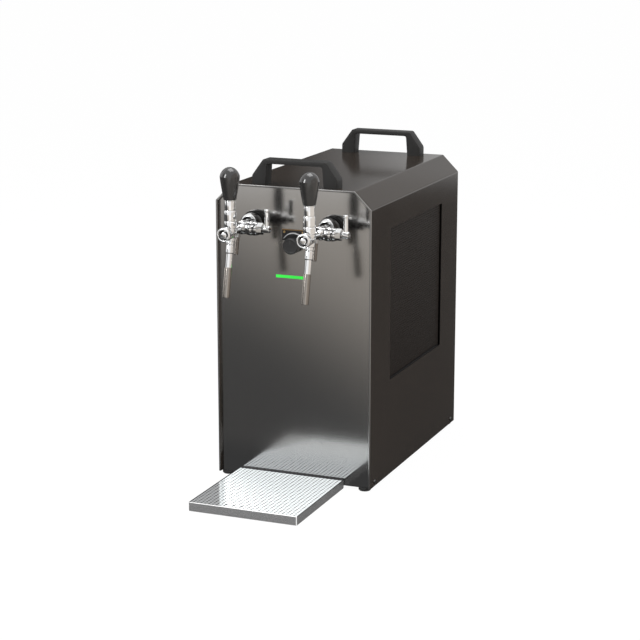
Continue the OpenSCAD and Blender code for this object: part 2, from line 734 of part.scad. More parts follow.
// Compensator lever: shaft, hub and the upright pin that is turned by hand
module compensator_lever() {
  bar_x(comp_shaft_d, 4, comp_side);
  bar_x(hub_d, comp_side - hub_l / 2 + 1, comp_side + hub_l / 2 - 1);
  translate([comp_side - hub_l / 2, 0, 0]) rotate([0, 90, 0])
    cylinder(d1 = hub_d - 2, d2 = hub_d, h = 1 + eps);
  translate([comp_side + hub_l / 2 - 1 - eps, 0, 0]) rotate([0, 90, 0])
    cylinder(d1 = hub_d, d2 = hub_d - 2, h = 1);
  translate([comp_side, 0, 0]) {
    cylinder(d = comp_pin_d - 1, h = comp_pin_h - 2);
    translate([0, 0, 9]) cylinder(d1 = comp_pin_d - 1, d2 = comp_pin_d, h = 5);
    translate([0, 0, 14 - eps]) cylinder(d1 = comp_pin_d, d2 = comp_pin_d - 1, h = comp_pin_h - 18);
    translate([0, 0, comp_pin_h - 4]) cylinder(d = comp_pin_d + 0.4, h = 4);
  }
}
module compensator_lever_left() color("silver") from_front()
  translate([-tap_x, -comp_out, tap_z]) compensator_lever();
module compensator_lever_right() color("silver") from_front()
  translate([tap_x, -comp_out, tap_z]) compensator_lever();

// Scale plate above the thermostat knob, with a crescent that widens to the right
module at_plate_screws() for (s = [-1, 1])
  translate([s * (plate_w / 2 - 4.5), front_inset - plate_t, plate_low + plate_h - 5])
    rotate([90, 0, 0]) children();
module thermostat_plate() {
  color([0.08, 0.08, 0.09]) from_front() difference() {
    block([-plate_w / 2, front_inset - plate_t, plate_low],
      [plate_w / 2, front_inset, plate_low + plate_h]);
    translate([0, 0, thermo_z]) bar_y(thermo_knob_d - 6, -20, 20);
    at_plate_screws() cylinder(d = 2.6, h = 12, center = true);
  }
  color("white") from_front() translate([0, front_inset - plate_t, thermo_z]) rotate([90, 0, 0])
    linear_extrude(0.2) difference() {
      circle(r = scale_r);
      translate([-1.1, -1.1]) circle(r = scale_r - 1);
      translate([-40, -80]) square([80, 90]);
      translate([plate_w / 2 - 5, -40]) square(80);
      translate([-plate_w / 2 - 78, -40]) square(80);
    }
}
module plate_screws() color("goldenrod") from_front() at_plate_screws() screw(2.4, 5);
module thermostat_body() {
  color("gray") from_front() translate([0, 0, thermo_z]) {
    difference() {
      union() {
        bar_y(bush_d, front_inset - 4, panel_back + 1);
        block([-17, panel_back, -17], [17, panel_back + 32, 17]);
      }
      bar_y(thermo_shaft_d + 2 * shaft_gap, -20, panel_back + 12);
    }
    pipe(2, [[0, panel_back + 32, 0], [0, line_y - 30, 0], [0, line_y - 30, -60],
      [-30, line_y - 30, -60], [-30, line_y - 30, block_top - thermo_z]]);
  }
}
module thermostat_knob() {
  y1 = front_inset - plate_t - 0.6;
  color([0.14, 0.14, 0.14]) from_front() translate([0, 0, thermo_z]) {
    difference() {
      union() {
        bar_y(thermo_knob_d, y1 - thermo_knob_t + 1, y1);
        cone_y(thermo_knob_d - 2, thermo_knob_d, y1 - thermo_knob_t, y1 - thermo_knob_t + 1);
      }
      bar_y(bush_d + 1, front_inset - 4.5, 20);
      block([-0.5, y1 - thermo_knob_t - 1, 4], [0.5, y1 - thermo_knob_t + 0.4, thermo_knob_d / 2]);
    }
    bar_y(thermo_shaft_d, y1 - thermo_knob_t + 4, panel_back + 11);
  }
}

module insulation_box() {
  color("khaki") from_front() difference() {
    block([cool_x - cool_w / 2, cool_y, pan_z],
      [cool_x + cool_w / 2, cool_y + cool_d, block_top]);
    block([cool_x - block_w / 2, cool_y + foam_t, pan_z + foam_t],
      [cool_x + block_w / 2, cool_y + cool_d - foam_t, block_top + 1]);
    for (z = [inlet_z, inlet_z + inlet_pitch])
      translate([line_port_x, 0, z]) bar_y(line_d + 0.4, line_y, cool_y + cool_d + 1);
    translate([0, cool_y + cool_d - 45, foot_h + 55]) bar_x(pipe_d + 0.4, cool_x, in_x);
    translate([0, cool_y + cool_d - 45, comp_z + 58]) bar_x(pipe_d + 0.4, cool_x, in_x);
  }
}
module insulation_lid() {
  color("khaki") from_front() difference() {
    block([cool_x - cool_w / 2, cool_y, block_top],
      [cool_x + cool_w / 2, cool_y + cool_d, cool_top]);
    for (x = [-tap_x, line_right_x])
      translate([x, line_y, block_top - 1]) cylinder(d = line_d + 0.4, h = foam_t + 2);
    translate([-30, line_y - 30, block_top - 1]) cylinder(d = 2.4, h = foam_t + 2);
  }
}
module cooling_block() {
  color("lightgray") from_front() difference() {
    block([cool_x - block_w / 2, cool_y + foam_t, pan_z + foam_t],
      [cool_x + block_w / 2, cool_y + cool_d - foam_t, block_top]);
    for (x = [-tap_x, line_right_x])
      translate([x, line_y, block_top - 20]) cylinder(d = beer_bore, h = 30);
    for (z = [inlet_z, inlet_z + inlet_pitch])
      translate([line_port_x, 0, z]) bar_y(beer_bore, line_y, line_y + block_d);
  }
}

module beer_line_set(d, e) {
  y_tail = panel_back + shank_l + 2;
  y_block = cool_y + cool_d - foam_t;
  y_end = rear_in - 24;
  pipe(d, [[-tap_x, line_y, block_top - e], [-tap_x, line_y, tap_z], [-tap_x, y_tail - e, tap_z]]);
  pipe(d, [[line_right_x, line_y, block_top - e], [line_right_x, line_y, cool_top + 60],
    [tap_x, line_y, cool_top + 60], [tap_x, line_y, tap_z], [tap_x, y_tail - e, tap_z]]);
  for (z = [inlet_z, inlet_z + inlet_pitch])
    pipe(d, [[line_port_x, y_block - e, z], [line_port_x, y_block + foam_t + 16, z],
      [inlet_x, y_block + foam_t + 16, z], [inlet_x, y_end + e, z]]);
}
module beer_lines() color("white") from_front() difference() {
  beer_line_set(line_d, 0);
  beer_line_set(tail_d + 0.1, 1);
}

// Hermetic compressor on a foot plate, with its terminal box and two pipe stubs
module at_mounts() for (i = [-1, 1], k = [-1, 1])
  translate([comp_x + i * mount_x, comp_y + k * mount_y, pan_z]) children();
module compressor() {
  r = comp_shell_d / 2;
  h = comp_shell_h;
  color([0.1, 0.1, 0.1]) from_front() {
    difference() {
      block([comp_x - mount_x - 12, comp_y - mount_y - 12, plate_z],
        [comp_x + mount_x + 12, comp_y + mount_y + 12, comp_z]);
      at_mounts() cylinder(d = 9, h = 40);
    }
    translate([comp_x, comp_y, comp_z]) {
      rotate_extrude() polygon([[0, 0], [r - 22, 0], [r - 8, 8], [r - 2, 26], [r - 2, h * 0.45],
        [r + 2, h * 0.45], [r + 2, h * 0.45 + 5], [r - 2, h * 0.45 + 5], [r - 4, h - 32],
        [r - 14, h - 12], [r - 34, h], [0, h]]);
      translate([0, 0, 98]) bar_x(pipe_d + 2, 0, r + 12);
      translate([0, -34, 58]) bar_x(pipe_d + 2, 0, r + 2);
      translate([-18, r - 14, 50]) cube([36, 24, 44]);
    }
  }
}
module compressor_mounts() color([0.15, 0.15, 0.15]) from_front() at_mounts() {
  cylinder(d = 22, h = mount_h - 4);
  translate([0, 0, mount_h - 4]) cylinder(d1 = 22, d2 = 16, h = 4);
  translate([0, 0, mount_h]) cylinder(d = 8.8, h = 3);
  translate([0, 0, mount_h + 3]) cylinder(d = 14, h = 3);
  translate([0, 0, -pan_t]) cylinder(d = screw_d, h = mount_h);
}
module refrigerant_pipes() {
  r = comp_shell_d / 2;
  y_gap = shelf_y - 5;
  x_mid = cond_x + cond_t / 2;
  y_drier = shelf_y - 17;
  y_cap = cool_y + cool_d - 45;
  color([0.72, 0.45, 0.3]) from_front() {
    pipe(pipe_d, [[comp_x + r + 12, comp_y, comp_z + 98], [riser_x, comp_y, comp_z + 98],
      [riser_x, y_gap, comp_z + 98], [riser_x, y_gap, shelf_z + cond_h - 18],
      [x_mid, y_gap, shelf_z + cond_h - 18], [x_mid, cond_y, shelf_z + cond_h - 18]]);
    pipe(pipe_d, [[x_mid, cond_y, shelf_z + 20], [x_mid, y_drier, shelf_z + 20],
      [x_mid, y_drier, foot_h + 160]]);
    pipe(pipe_d, [[x_mid, y_drier, foot_h + 80], [x_mid, y_drier, foot_h + 55],
      [x_mid, y_cap, foot_h + 55], [cool_x + block_w / 2, y_cap, foot_h + 55]]);
    pipe(pipe_d, [[cool_x + block_w / 2, y_cap, comp_z + 58], [suction_x, y_cap, comp_z + 58],
      [suction_x, comp_y - 34, comp_z + 58], [comp_x + r + 2, comp_y - 34, comp_z + 58]]);
  }
}
module filter_drier() {
  x_mid = cond_x + cond_t / 2;
  color([0.75, 0.5, 0.33]) from_front() translate([x_mid, shelf_y - 17, foot_h + 80]) {
    cylinder(d1 = pipe_d + 2, d2 = 18, h = 10);
    translate([0, 0, 10]) cylinder(d = 18, h = 60);
    translate([0, 0, 70]) cylinder(d1 = 18, d2 = pipe_d + 2, h = 10);
  }
}

// Shelf over the compressor, on two legs that stand in the base pan
module mid_shelf() {
  leg_w = 20;
  window = (shelf_end - shelf_y - 3 * leg_w) / 2;
  color("gray") from_front() difference() {
    block([-shelf_x, shelf_y, pan_z], [shelf_x, shelf_end, shelf_z + shelf_t]);
    block([shelf_t - shelf_x, shelf_y - 1, pan_z - 1],
      [shelf_x - shelf_t, shelf_end + 1, shelf_z]);
    for (k = [0, 1])
      block([-shelf_x - 1, shelf_y + leg_w + k * (leg_w + window), pan_z + 40],
        [shelf_x + 1, shelf_y + (1 + k) * (leg_w + window), shelf_z - 20]);
    translate([harness_x, harness_y, shelf_z - 1]) cylinder(d = 14, h = 5);
  }
}

// Fin pack with two rows of tubes, joined by bends at its ends
module condenser() {
  fin_n = 24;
  rows = 9;
  bend = 17;
  pitch = (cond_h - 24) / (rows - 1);
  color([0.55, 0.55, 0.57]) from_front() translate([cond_x, cond_y, shelf_z + shelf_t]) {
    for (i = [0 : fin_n - 1])
      translate([0, bend + 5 + i * (cond_l - 2 * bend - 10.8) / (fin_n - 1), 0])
        cube([cond_t, 0.8, cond_h]);
    for (y = [bend, cond_l - bend - 1.5]) translate([0, y, 0]) cube([cond_t, 1.5, cond_h]);
    for (x = [cond_t * 0.27, cond_t * 0.73], k = [0 : rows - 1])
      translate([x, 0, 12 + k * pitch]) bar_y(7, bend, cond_l - bend);
    for (x = [cond_t * 0.27, cond_t * 0.73], k = [0 : rows - 2])
      translate([x, k % 2 == 0 ? cond_l - bend : bend, 12 + (k + 0.5) * pitch])
        rotate([k % 2 == 0 ? 0 : 180, 0, 0]) rotate([0, -90, 0])
          rotate_extrude(angle = 180) translate([pitch / 2, 0]) circle(d = 7);
    translate([cond_t / 2, 0, 18.5]) bar_y(8, 0, bend + 1);
    translate([cond_t / 2, 0, cond_h - 19.5]) bar_y(8, 0, bend + 1);
  }
}
module fan_shroud() {
  color([0.12, 0.12, 0.12]) from_front() translate([0, fan_y, fan_z]) difference() {
    union() {
      block([shroud_x, -cond_l / 2, -cond_h / 2], [cond_x, cond_l / 2, cond_h / 2]);
      bar_x(fan_d + 12, shroud_x - 14, cond_x);
    }
    bar_x(fan_d + 8, shroud_x - 20, cond_x + 5);
  }
}
module fan_motor() {
  r = fan_d / 2 + 11;
  color([0.3, 0.3, 0.32]) from_front() translate([0, fan_y, fan_z]) difference() {
    union() {
      bar_x(motor_d, motor_x, motor_x + motor_l);
      bar_x(18, motor_x + motor_l - 1, motor_x + motor_l + 2);
      for (a = [90, 210, 330]) rotate([a, 0, 0]) {
        block([motor_x + motor_l - 8, 0, -arm_w / 2], [motor_x + motor_l - 4, r, arm_w / 2]);
        block([motor_x + motor_l - 8, r - 4, -arm_w / 2], [shroud_x, r, arm_w / 2]);
      }
    }
    bar_x(fan_shaft_d + 2 * shaft_gap, motor_x + 8, motor_x + motor_l + 5);
  }
}
module fan_rotor() {
  color([0.2, 0.2, 0.22]) from_front() translate([0, fan_y, fan_z]) {
    bar_x(36, rotor_x, rotor_x + rotor_l - 2);
    bar_x(fan_shaft_d, motor_x + 9, rotor_x + 1);
    intersection() {
      bar_x(fan_d, rotor_x, rotor_x + rotor_l);
      for (a = [0 : 72 : 288]) rotate([a, 0, 0]) translate([rotor_x + rotor_l / 2, 0, 10])
        rotate([0, 0, 38]) translate([-0.8, -22, 0]) cube([1.6, 44, fan_d]);
    }
  }
}

module air_pump() {
  z = shelf_z + shelf_t;
  color([0.2, 0.22, 0.28]) from_front() {
    block([air_x - 36, rear_in - 126, z + 8], [air_x + 36, rear_in - 56, z + 62]);
    translate([air_x, 0, z + 35]) bar_y(46, rear_in - 56 - eps, rear_in - 30);
    for (i = [-1, 1], k = [-1, 1])
      translate([air_x + i * 26, rear_in - 91 + k * 25, z]) cylinder(d = 12, h = 8 + eps);
    translate([air_x, rear_in - 66, z + 61]) cylinder(d = 6, h = 10);
  }
}
module air_hose() {
  z = shelf_z + shelf_t + 71;
  color([0.85, 0.85, 0.8]) from_front()
    pipe(6, [[air_x, rear_in - 66, z], [air_x, rear_in - 66, z + 18],
      [air_x, rear_in - 24, z + 18], [air_x, rear_in - 24, air_z], [air_x, rear_in - 12, air_z]]);
}

module wiring_box() color([0.8, 0.8, 0.78]) from_front() difference() {
  block([box_x, box_y, pan_z], [box_x + box_w, box_y + box_d, pan_z + box_h]);
  block([box_x + 2, box_y + 2, pan_z + 2],
    [box_x + box_w - 2, box_y + box_d - 2, pan_z + box_h - 2]);
  block([harness_x - 10, harness_y - 5, pan_z + box_h - 3],
    [harness_x + 10, harness_y + 5, pan_z + box_h + 1]);
}
module wiring_harness() color([0.1, 0.1, 0.1]) from_front() {
  x = harness_x;
  y = harness_y;
  z = pan_z + box_h - 12;
  pipe(5, [[x, y, z], [x, y, fan_z], [motor_x + 16, y, fan_z],
    [motor_x + 16, fan_y + motor_d / 2, fan_z]]);
}

// Threaded inlets with a hexagon outside, a nut inside and a tail for the beer line
module beer_inlets() color("silver") from_front() at_inlets() difference() {
  union() {
    rotate([-90, 0, 0]) cylinder(d = inlet_hex / cos(30), h = inlet_hex_t, $fn = 6);
    bar_y(inlet_d, 0, inlet_hex_t + inlet_l);
    bar_y(inlet_d, -panel_t - 9, 0);
    translate([0, -panel_t, 0]) rotate([90, 0, 0])
      cylinder(d = inlet_hex / cos(30), h = 6, $fn = 6);
    bar_y(tail_d, -panel_t - 36, -panel_t - 8);
  }
  bar_y(beer_bore, -60, 60);
}
module air_outlet() color("goldenrod") from_front() translate([air_x, rear_face, air_z])
  difference() {
    union() {
      rotate([-90, 0, 0]) cylinder(d = 16, h = 5, $fn = 6);
      bar_y(air_tail_d, 4, 16);
      cone_y(air_tail_d, air_tail_d - 1, 16, 17);
      bar_y(12, -panel_t - 6, 0);
      bar_y(8, -panel_t - 12, -panel_t - 5);
    }
    bar_y(4, -20, 20);
  }

// Appliance inlet with three blades in its recess
module mains_inlet() color([0.1, 0.1, 0.1]) from_front() translate([iec_x, rear_face, iec_z]) {
  w = iec_w / 2 - 0.3;
  h = iec_h / 2 - 0.3;
  difference() {
    union() {
      block([-w, -22, -h], [w, 0, h]);
      block([-w - 3, 0, -h - 3], [w + 3, 2.5, h + 3]);
    }
    block([2 - w, -18, 2 - h], [w - 2, 3, h - 2]);
  }
  for (p = [[-7, -2], [7, -2], [0, 3]])
    block([p[0] - 1, -18 - eps, p[1] - 2], [p[0] + 1, -4, p[1] + 2]);
}
module switch_frame() color([0.1, 0.1, 0.1]) from_front() translate([iec_x, rear_face, switch_z])
  difference() {
    union() {
      block([-rocker_w / 2 - 1.3, -14, -rocker_l / 2 - 1.3],
        [rocker_w / 2 + 1.3, 0, rocker_l / 2 + 1.3]);
      block([-rocker_w / 2 - 3, 0, -rocker_l / 2 - 3], [rocker_w / 2 + 3, 2, rocker_l / 2 + 3]);
    }
    block([-rocker_w / 2, -11, -rocker_l / 2], [rocker_w / 2, 3, rocker_l / 2]);
    translate([0, -4, 0]) bar_x(3 + 2 * shaft_gap, -rocker_w / 2 - 1, rocker_w / 2 + 1);
  }
// Rocker with two faces that meet in a shallow vee, lying in the off position
module switch_rocker() color([0.7, 0.1, 0.08]) from_front()
  translate([iec_x, rear_face - 4, switch_z]) rotate([-rocker_swing / 2, 0, 0]) {
    bar_x(3, -rocker_w / 2 - 0.8, rocker_w / 2 + 0.8);
    rotate([90, 0, 90]) translate([0, 0, -rocker_w / 2 + 0.3]) linear_extrude(rocker_w - 0.6)
      polygon([[-3, -3], [2, -rocker_l / 2 + 1.5], [5.5, -rocker_l / 2 + 1.2], [4, 0],
        [5.5, rocker_l / 2 - 1.2], [2, rocker_l / 2 - 1.5], [-3, 3]]);
  }

base_pan();
cover();
front_panel();
rear_panel();
side_screen_left();
side_screen_right();
feet();
carry_handle_front();
carry_handle_rear();
handle_screws();
casing_screws();
accent_strip();
drip_tray();
drip_grille();
grille_rails();
tap_body_left();
tap_body_right();
tap_rosettes();
shank_nuts();
face_rings();
gland_nuts();
vent_tubes();
tap_lever_left();
tap_lever_right();
tap_knob_left();
tap_knob_right();
tap_spout_left();
tap_spout_right();
nozzle_left();
nozzle_right();
compensator_lever_left();
compensator_lever_right();
thermostat_plate();
plate_screws();
thermostat_body();
thermostat_knob();
insulation_box();
insulation_lid();
cooling_block();
beer_lines();
compressor();
compressor_mounts();
refrigerant_pipes();
filter_drier();
mid_shelf();
condenser();
fan_shroud();
fan_motor();
fan_rotor();
air_pump();
air_hose();
wiring_box();
wiring_harness();
beer_inlets();
air_outlet();
mains_inlet();
switch_frame();
switch_rocker();
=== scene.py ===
import math

import bmesh
import bpy
import numpy as np
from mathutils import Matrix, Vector


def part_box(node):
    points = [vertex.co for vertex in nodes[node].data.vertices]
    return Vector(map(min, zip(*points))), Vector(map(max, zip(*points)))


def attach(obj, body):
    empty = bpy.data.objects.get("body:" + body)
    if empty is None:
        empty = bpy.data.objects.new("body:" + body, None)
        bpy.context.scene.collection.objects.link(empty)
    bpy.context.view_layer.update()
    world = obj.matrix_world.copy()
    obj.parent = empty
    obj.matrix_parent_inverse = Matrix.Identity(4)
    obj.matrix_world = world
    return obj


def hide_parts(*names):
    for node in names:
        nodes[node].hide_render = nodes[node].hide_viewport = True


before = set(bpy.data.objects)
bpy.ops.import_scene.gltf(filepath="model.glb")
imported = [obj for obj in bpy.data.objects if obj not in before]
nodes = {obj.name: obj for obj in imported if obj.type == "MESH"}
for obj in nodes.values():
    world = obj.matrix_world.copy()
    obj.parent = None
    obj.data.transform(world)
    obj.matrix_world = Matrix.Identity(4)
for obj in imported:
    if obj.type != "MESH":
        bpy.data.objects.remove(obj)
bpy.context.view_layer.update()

# Camera at the photograph's height and angle, a long lens from the front right.
camera = bpy.data.objects.new("camera", bpy.data.cameras.new("camera"))
bpy.context.collection.objects.link(camera)
camera.data.lens = 104.5
camera.data.sensor_width = 36
camera.location = (1.2317, -3.0237, 1.0398)
camera_aim = Vector((0.05118, -0.1385, 0.30109)) - camera.location
camera.rotation_euler = camera_aim.to_track_quat("-Z", "Y").to_euler()
bpy.context.scene.camera = camera
bpy.context.scene.view_settings.view_transform = "Standard"

# Cover: one sheet of powder-coated steel, folded over both shoulders. Its front edge is
# turned in on itself as a narrow rim, ground bright on its face, and each side has a
# large opening for air. It is screwed to the base pan.

# From here to the studio, lengths are millimetres and Y counts from the cover's front edge.
front_edge = 138.5
cover_w, cover_d, cover_low, cover_top, shoulder = 145.0, 466.0, 5.0, 529.0, 30.5
rim, rim_deep, rim_soft, sheet, bend = 3.5, 7.0, 0.9, 1.5, 3.6
screen_y, screen_z = (96.0, 372.0), (180.0, 452.0)
flange_edges, flange_faces = (1.4, 13.5), (459.0, 460.5)


class Wire:
    """One output socket of a node tree. Sums and products of wires add Math nodes."""

    def __init__(self, web, socket):
        self.web, self.socket = web, socket

    def math(self, operation, *values):
        return self.web.node("ShaderNodeMath", {"operation": operation}, dict(enumerate(values)))

    def __add__(self, other):
        return self.math("ADD", self, other)

    def __sub__(self, other):
        return self.math("SUBTRACT", self, other)

    def __rsub__(self, other):
        return self.math("SUBTRACT", other, self)

    def __mul__(self, other):
        return self.math("MULTIPLY", self, other)

    __radd__, __rmul__ = __add__, __mul__

    def root(self):
        return self.math("SQRT", self)

    def most(self, other):
        return self.math("MAXIMUM", self, other)

    def step(self, low, high):
        """0 below low, 1 above high and a smooth rise between; low may be the larger."""
        return self.web.node("ShaderNodeMapRange", {"interpolation_type": "SMOOTHSTEP"},
                             {"Value": self, "From Min": low, "From Max": high})

    def turn(self, other, mask):
        """This wire where the mask is 0 and the other where it is 1."""
        return self + (other - self) * mask


class Web:
    """A node tree, with the few ways in which nodes are added to it."""

    def __init__(self, tree):
        self.tree = tree

    def node(self, kind, settings, sockets, output=0):
        """Adds a node: its settings or a ramp's stops first, then a value or a wire for
        each named socket."""
        made = self.tree.nodes.new(kind)
        for key, value in settings.items():
            if key == "stops":
                self.lay_stops(made.color_ramp.elements, value)
            else:
                setattr(made, key, value)
        for key, value in sockets.items():
            socket = made.inputs[key]
            if isinstance(value, Wire):
                self.join(value, socket)
            else:
                socket.default_value = (*value, 1) if socket.type == "RGBA" else value
        return Wire(self, made.outputs[output])

    def lay_stops(self, ramp, stops):
        """Grey levels along a ramp, whose first stop is at 0 and last one at 1."""
        for spot, level in stops:
            stop = ramp[0] if spot == 0 else ramp[-1] if spot == 1 else ramp.new(spot)
            stop.color = (level, level, level, 1)

    def join(self, wire, socket):
        self.tree.links.new(wire.socket, socket)

    def mix(self, mask, first, second):
        """The first colour where the mask is 0 and the second where it is 1."""
        return self.node("ShaderNodeMix", {"data_type": "RGBA"}, {0: mask, 6: first, 7: second}, 2)

    def bands(self, wire, *stops):
        """A value that runs straight from stop to stop, each a wire value and its result."""
        low, high = stops[0][0], stops[-1][0]
        share = self.node("ShaderNodeMapRange", {},
                          {"Value": wire, "From Min": low, "From Max": high})
        spots = [((at - low) / (high - low), level) for at, level in stops]
        return self.node("ShaderNodeValToRGB", {"stops": spots}, {"Fac": share})


class Finish(Web):
    """A node material for one finish of this cooler, with its plain values on the shader."""

    def __init__(self, name, colour=(0.5, 0.5, 0.5), **plain):
        self.material = bpy.data.materials.new(name)
        self.material.use_nodes = True
        super().__init__(self.material.node_tree)
        self.shader = self.tree.nodes["Principled BSDF"]
        self.shader.inputs["Base Color"].default_value = (*colour, 1)
        for socket, value in plain.items():
            self.shader.inputs[socket.replace("_", " ")].default_value = value

    def feed(self, socket, wire):
        self.join(wire, self.shader.inputs[socket])

    def fed(self, socket):
        """The wire that feeds a socket of the shader."""
        return Wire(self, self.shader.inputs[socket].links[0].from_socket)

    def paint(self, mask, colour):
        """Lays a colour over the base colour where the mask is 1."""
        self.feed("Base Color", self.mix(mask, self.fed("Base Color"), colour))

    def surface(self, wire):
        """Shows the wire instead of the plain shader."""
        output = next(n for n in self.tree.nodes if n.type == "OUTPUT_MATERIAL")
        self.join(wire, output.inputs["Surface"])

    def place(self, *stretch):
        """Object coordinates in metres, stretched along X, Y and Z."""
        where = self.node("ShaderNodeTexCoord", {}, {}, "Object")
        if not stretch:
            return where
        return self.node("ShaderNodeMapping", {}, {"Vector": where, "Scale": stretch})

    def axes(self, scale=1000, ahead=front_edge):
        """X, Y and Z as in the meshes, in millimetres with Y from the cover's front edge,
        or to another scale and start."""
        where = self.node("ShaderNodeMapping", {}, {
            "Vector": self.place(), "Location": (0, ahead, 0), "Scale": (scale, scale, scale)})
        apart = self.node("ShaderNodeSeparateXYZ", {}, {0: where})
        return [Wire(self, s) for s in apart.socket.node.outputs]

    def noise(self, scale, detail=3, roughness=0.55, stretch=(1, 1, 1)):
        return self.node("ShaderNodeTexNoise", {}, {
            "Vector": self.place(*stretch), "Scale": scale, "Detail": detail,
            "Roughness": roughness})

    def bump(self, height, depth):
        """Raises the surface by depth metres where the height is 1."""
        self.feed("Normal", self.node("ShaderNodeBump", {}, {
            "Height": height, "Distance": depth, "Strength": 1.0}))

    def on(self, *pieces):
        for piece in pieces:
            piece = nodes[piece] if isinstance(piece, str) else piece
            piece.data.materials.clear()
            piece.data.materials.append(self.material)

    def on_faces(self, piece, chosen):
        """Gives the chosen faces this finish, and leaves the others as they are."""
        piece.data.materials.append(self.material)
        slots = np.zeros(len(chosen), np.int32)
        piece.data.polygons.foreach_get("material_index", slots)
        slots[chosen] = len(piece.data.materials) - 1
        piece.data.polygons.foreach_set("material_index", slots)


def tint(colour, share):
    """The colour times the share, and never above 1."""
    return tuple(min(1, c * share) for c in colour)


def powder_coat(name, colour, rough=0.42, level=0.35, grain=900):
    """Fine orange peel, a slow drift of tone and small changes of gloss."""
    coat = Finish(name, colour, Roughness=rough, Specular_IOR_Level=level)
    drift = coat.noise(9, 3)
    coat.feed("Base Color", coat.mix(drift, tint(colour, 0.86), tint(colour, 1.14)))
    peel = coat.noise(grain, 2)
    coat.feed("Roughness", rough - 0.05 + 0.06 * drift + 0.06 * peel)
    coat.bump(peel, 0.000012)
    return coat


def brushed_steel(name, colour, rough, grain, streak=0.08, depth=0.000004, **plain):
    """Streaks drawn out along the small number of grain, in tone, gloss and height."""
    steel = Finish(name, colour, **{"Roughness": rough, "Metallic": 1.0, **plain})
    line = steel.noise(1, 4, 0.6, grain)
    cloud = steel.noise(6, 2)
    steel.feed("Base Color", steel.mix(line, tint(colour, 1 - streak), tint(colour, 1 + streak)))
    steel.feed("Roughness", rough - 0.03 + 0.04 * line + 0.02 * cloud)
    steel.bump(line, depth)
    return steel


def patch(points, caps=False):
    """Quads between neighbours of a grid of points whose rows are closed rings. Caps close
    the first and last rings."""
    rows, cols = points.shape[:2]
    i, j = np.meshgrid(np.arange(rows - 1), np.arange(cols), indexing="ij")
    here, after, beside = i * cols + j, (i + 1) * cols + j, (j + 1) % cols - j
    quads = np.stack([here, here + beside, after + beside, after], -1)
    faces = quads.reshape(-1, 4).tolist()
    if caps:
        faces += [list(range(cols))[::-1], list(range((rows - 1) * cols, rows * cols))]
    return points.reshape(-1, 3), faces


def skin(name, body, replaced, patches, crease=35):
    """One closed piece that rides on a body, from patches in millimetres. They are joined
    where their points meet, and edges sharper than the crease stay crisp."""
    points, faces, base = [], [], 0
    for p, f in patches:
        points.append(p)
        faces += [[v + base for v in face] for face in f]
        base += len(p)
    points = (np.concatenate(points) + (0, -front_edge, 0)) * 0.001
    mesh = bpy.data.meshes.new(name)
    mesh.from_pydata(points.tolist(), [], faces)
    work = bmesh.new()
    work.from_mesh(mesh)
    bmesh.ops.remove_doubles(work, verts=work.verts, dist=0.000002)
    bmesh.ops.recalc_face_normals(work, faces=work.faces)
    work.to_mesh(mesh)
    work.free()
    mesh.shade_smooth()
    mesh.set_sharp_from_angle(angle=math.radians(crease))
    piece = bpy.data.objects.new(name, mesh)
    bpy.context.collection.objects.link(piece)
    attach(piece, body)
    if replaced:
        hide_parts(*replaced)
    return piece


def per_face(piece, what, scale=1.0, shift=(0, 0, 0)):
    """A row for each face with its center or normal, scaled and then shifted."""
    rows = np.zeros(len(piece.data.polygons) * 3)
    piece.data.polygons.foreach_get(what, rows)
    return rows.reshape(-1, 3) * scale + shift


def rounded(corners, radius, steps=4):
    """A polyline whose inner corners are parabolic arcs that start a radius from each."""
    corners = np.array(corners, float)
    made = [corners[:1]]
    t = np.linspace(0, 1, steps + 1)[:, None]
    for before, here, after in zip(corners, corners[1:], corners[2:]):
        a, b = before - here, after - here
        a = here + a * min(radius / np.linalg.norm(a), 0.5)
        b = here + b * min(radius / np.linalg.norm(b), 0.5)
        made.append((1 - t) ** 2 * a + 2 * t * (1 - t) * here + t ** 2 * b)
    return np.concatenate(made + [corners[-1:]])


def both_sides(left):
    """A line's points on the left, and their mirror images back down the right."""
    return left + [(-x, z) for x, z in left[::-1]]


def cover_line():
    """Points and outward normals from the left foot over both shoulders to the right foot.
    Each fold is an arc of 45 degrees. Its centre lies a bend inside the wall and a bend
    times tan 22.5 degrees before the corner. A point on the flat sheet stands 1.5 mm
    before and after each arc."""
    foot = [(-cover_w, cover_low), (-cover_w, screen_z[0]), (-cover_w, screen_z[1])]
    spots, normals = list(foot), [(-1, 0)] * 3
    shift = np.array([1.5] + [0] * 7 + [-1.5])[:, None]
    for x, z, start in ((-cover_w, cover_top - shoulder, 180), (shoulder - cover_w, cover_top, 135),
                        (cover_w - shoulder, cover_top, 90), (cover_w, cover_top - shoulder, 45)):
        angle = np.radians(np.linspace(start, start - 45, 7))[[0, *range(7), 6]]
        normal = np.column_stack([np.cos(angle), np.sin(angle)])
        way = np.column_stack([-np.sin(angle), np.cos(angle)])
        slip = bend * math.tan(math.radians(22.5))
        centre = np.array([x, z]) - bend * normal[0] + slip * way[0]
        spots += (centre + bend * normal + shift * way).tolist()
        normals += normal.tolist()
    spots += [(-x, z) for x, z in foot[::-1]]
    return np.array(spots), np.array(normals + [(1, 0)] * 3)


line, outward = cover_line()
fold = np.concatenate([
    rounded([(rim, rim_deep), (rim, 0), (0, 0), (0, 3)], rim_soft, 3),
    [(0, screen_y[0]), (0, screen_y[1]), (0, cover_d), (sheet, cover_d), (sheet, screen_y[1]),
     (sheet, screen_y[0]), (sheet, rim_deep)]])
inner = line[:, None] - outward[:, None] * fold[None, :, :1]
shell = np.stack([inner[..., 0], np.broadcast_to(fold[:, 1], inner.shape[:2]), inner[..., 1]], -1)
points, faces = patch(shell, caps=True)


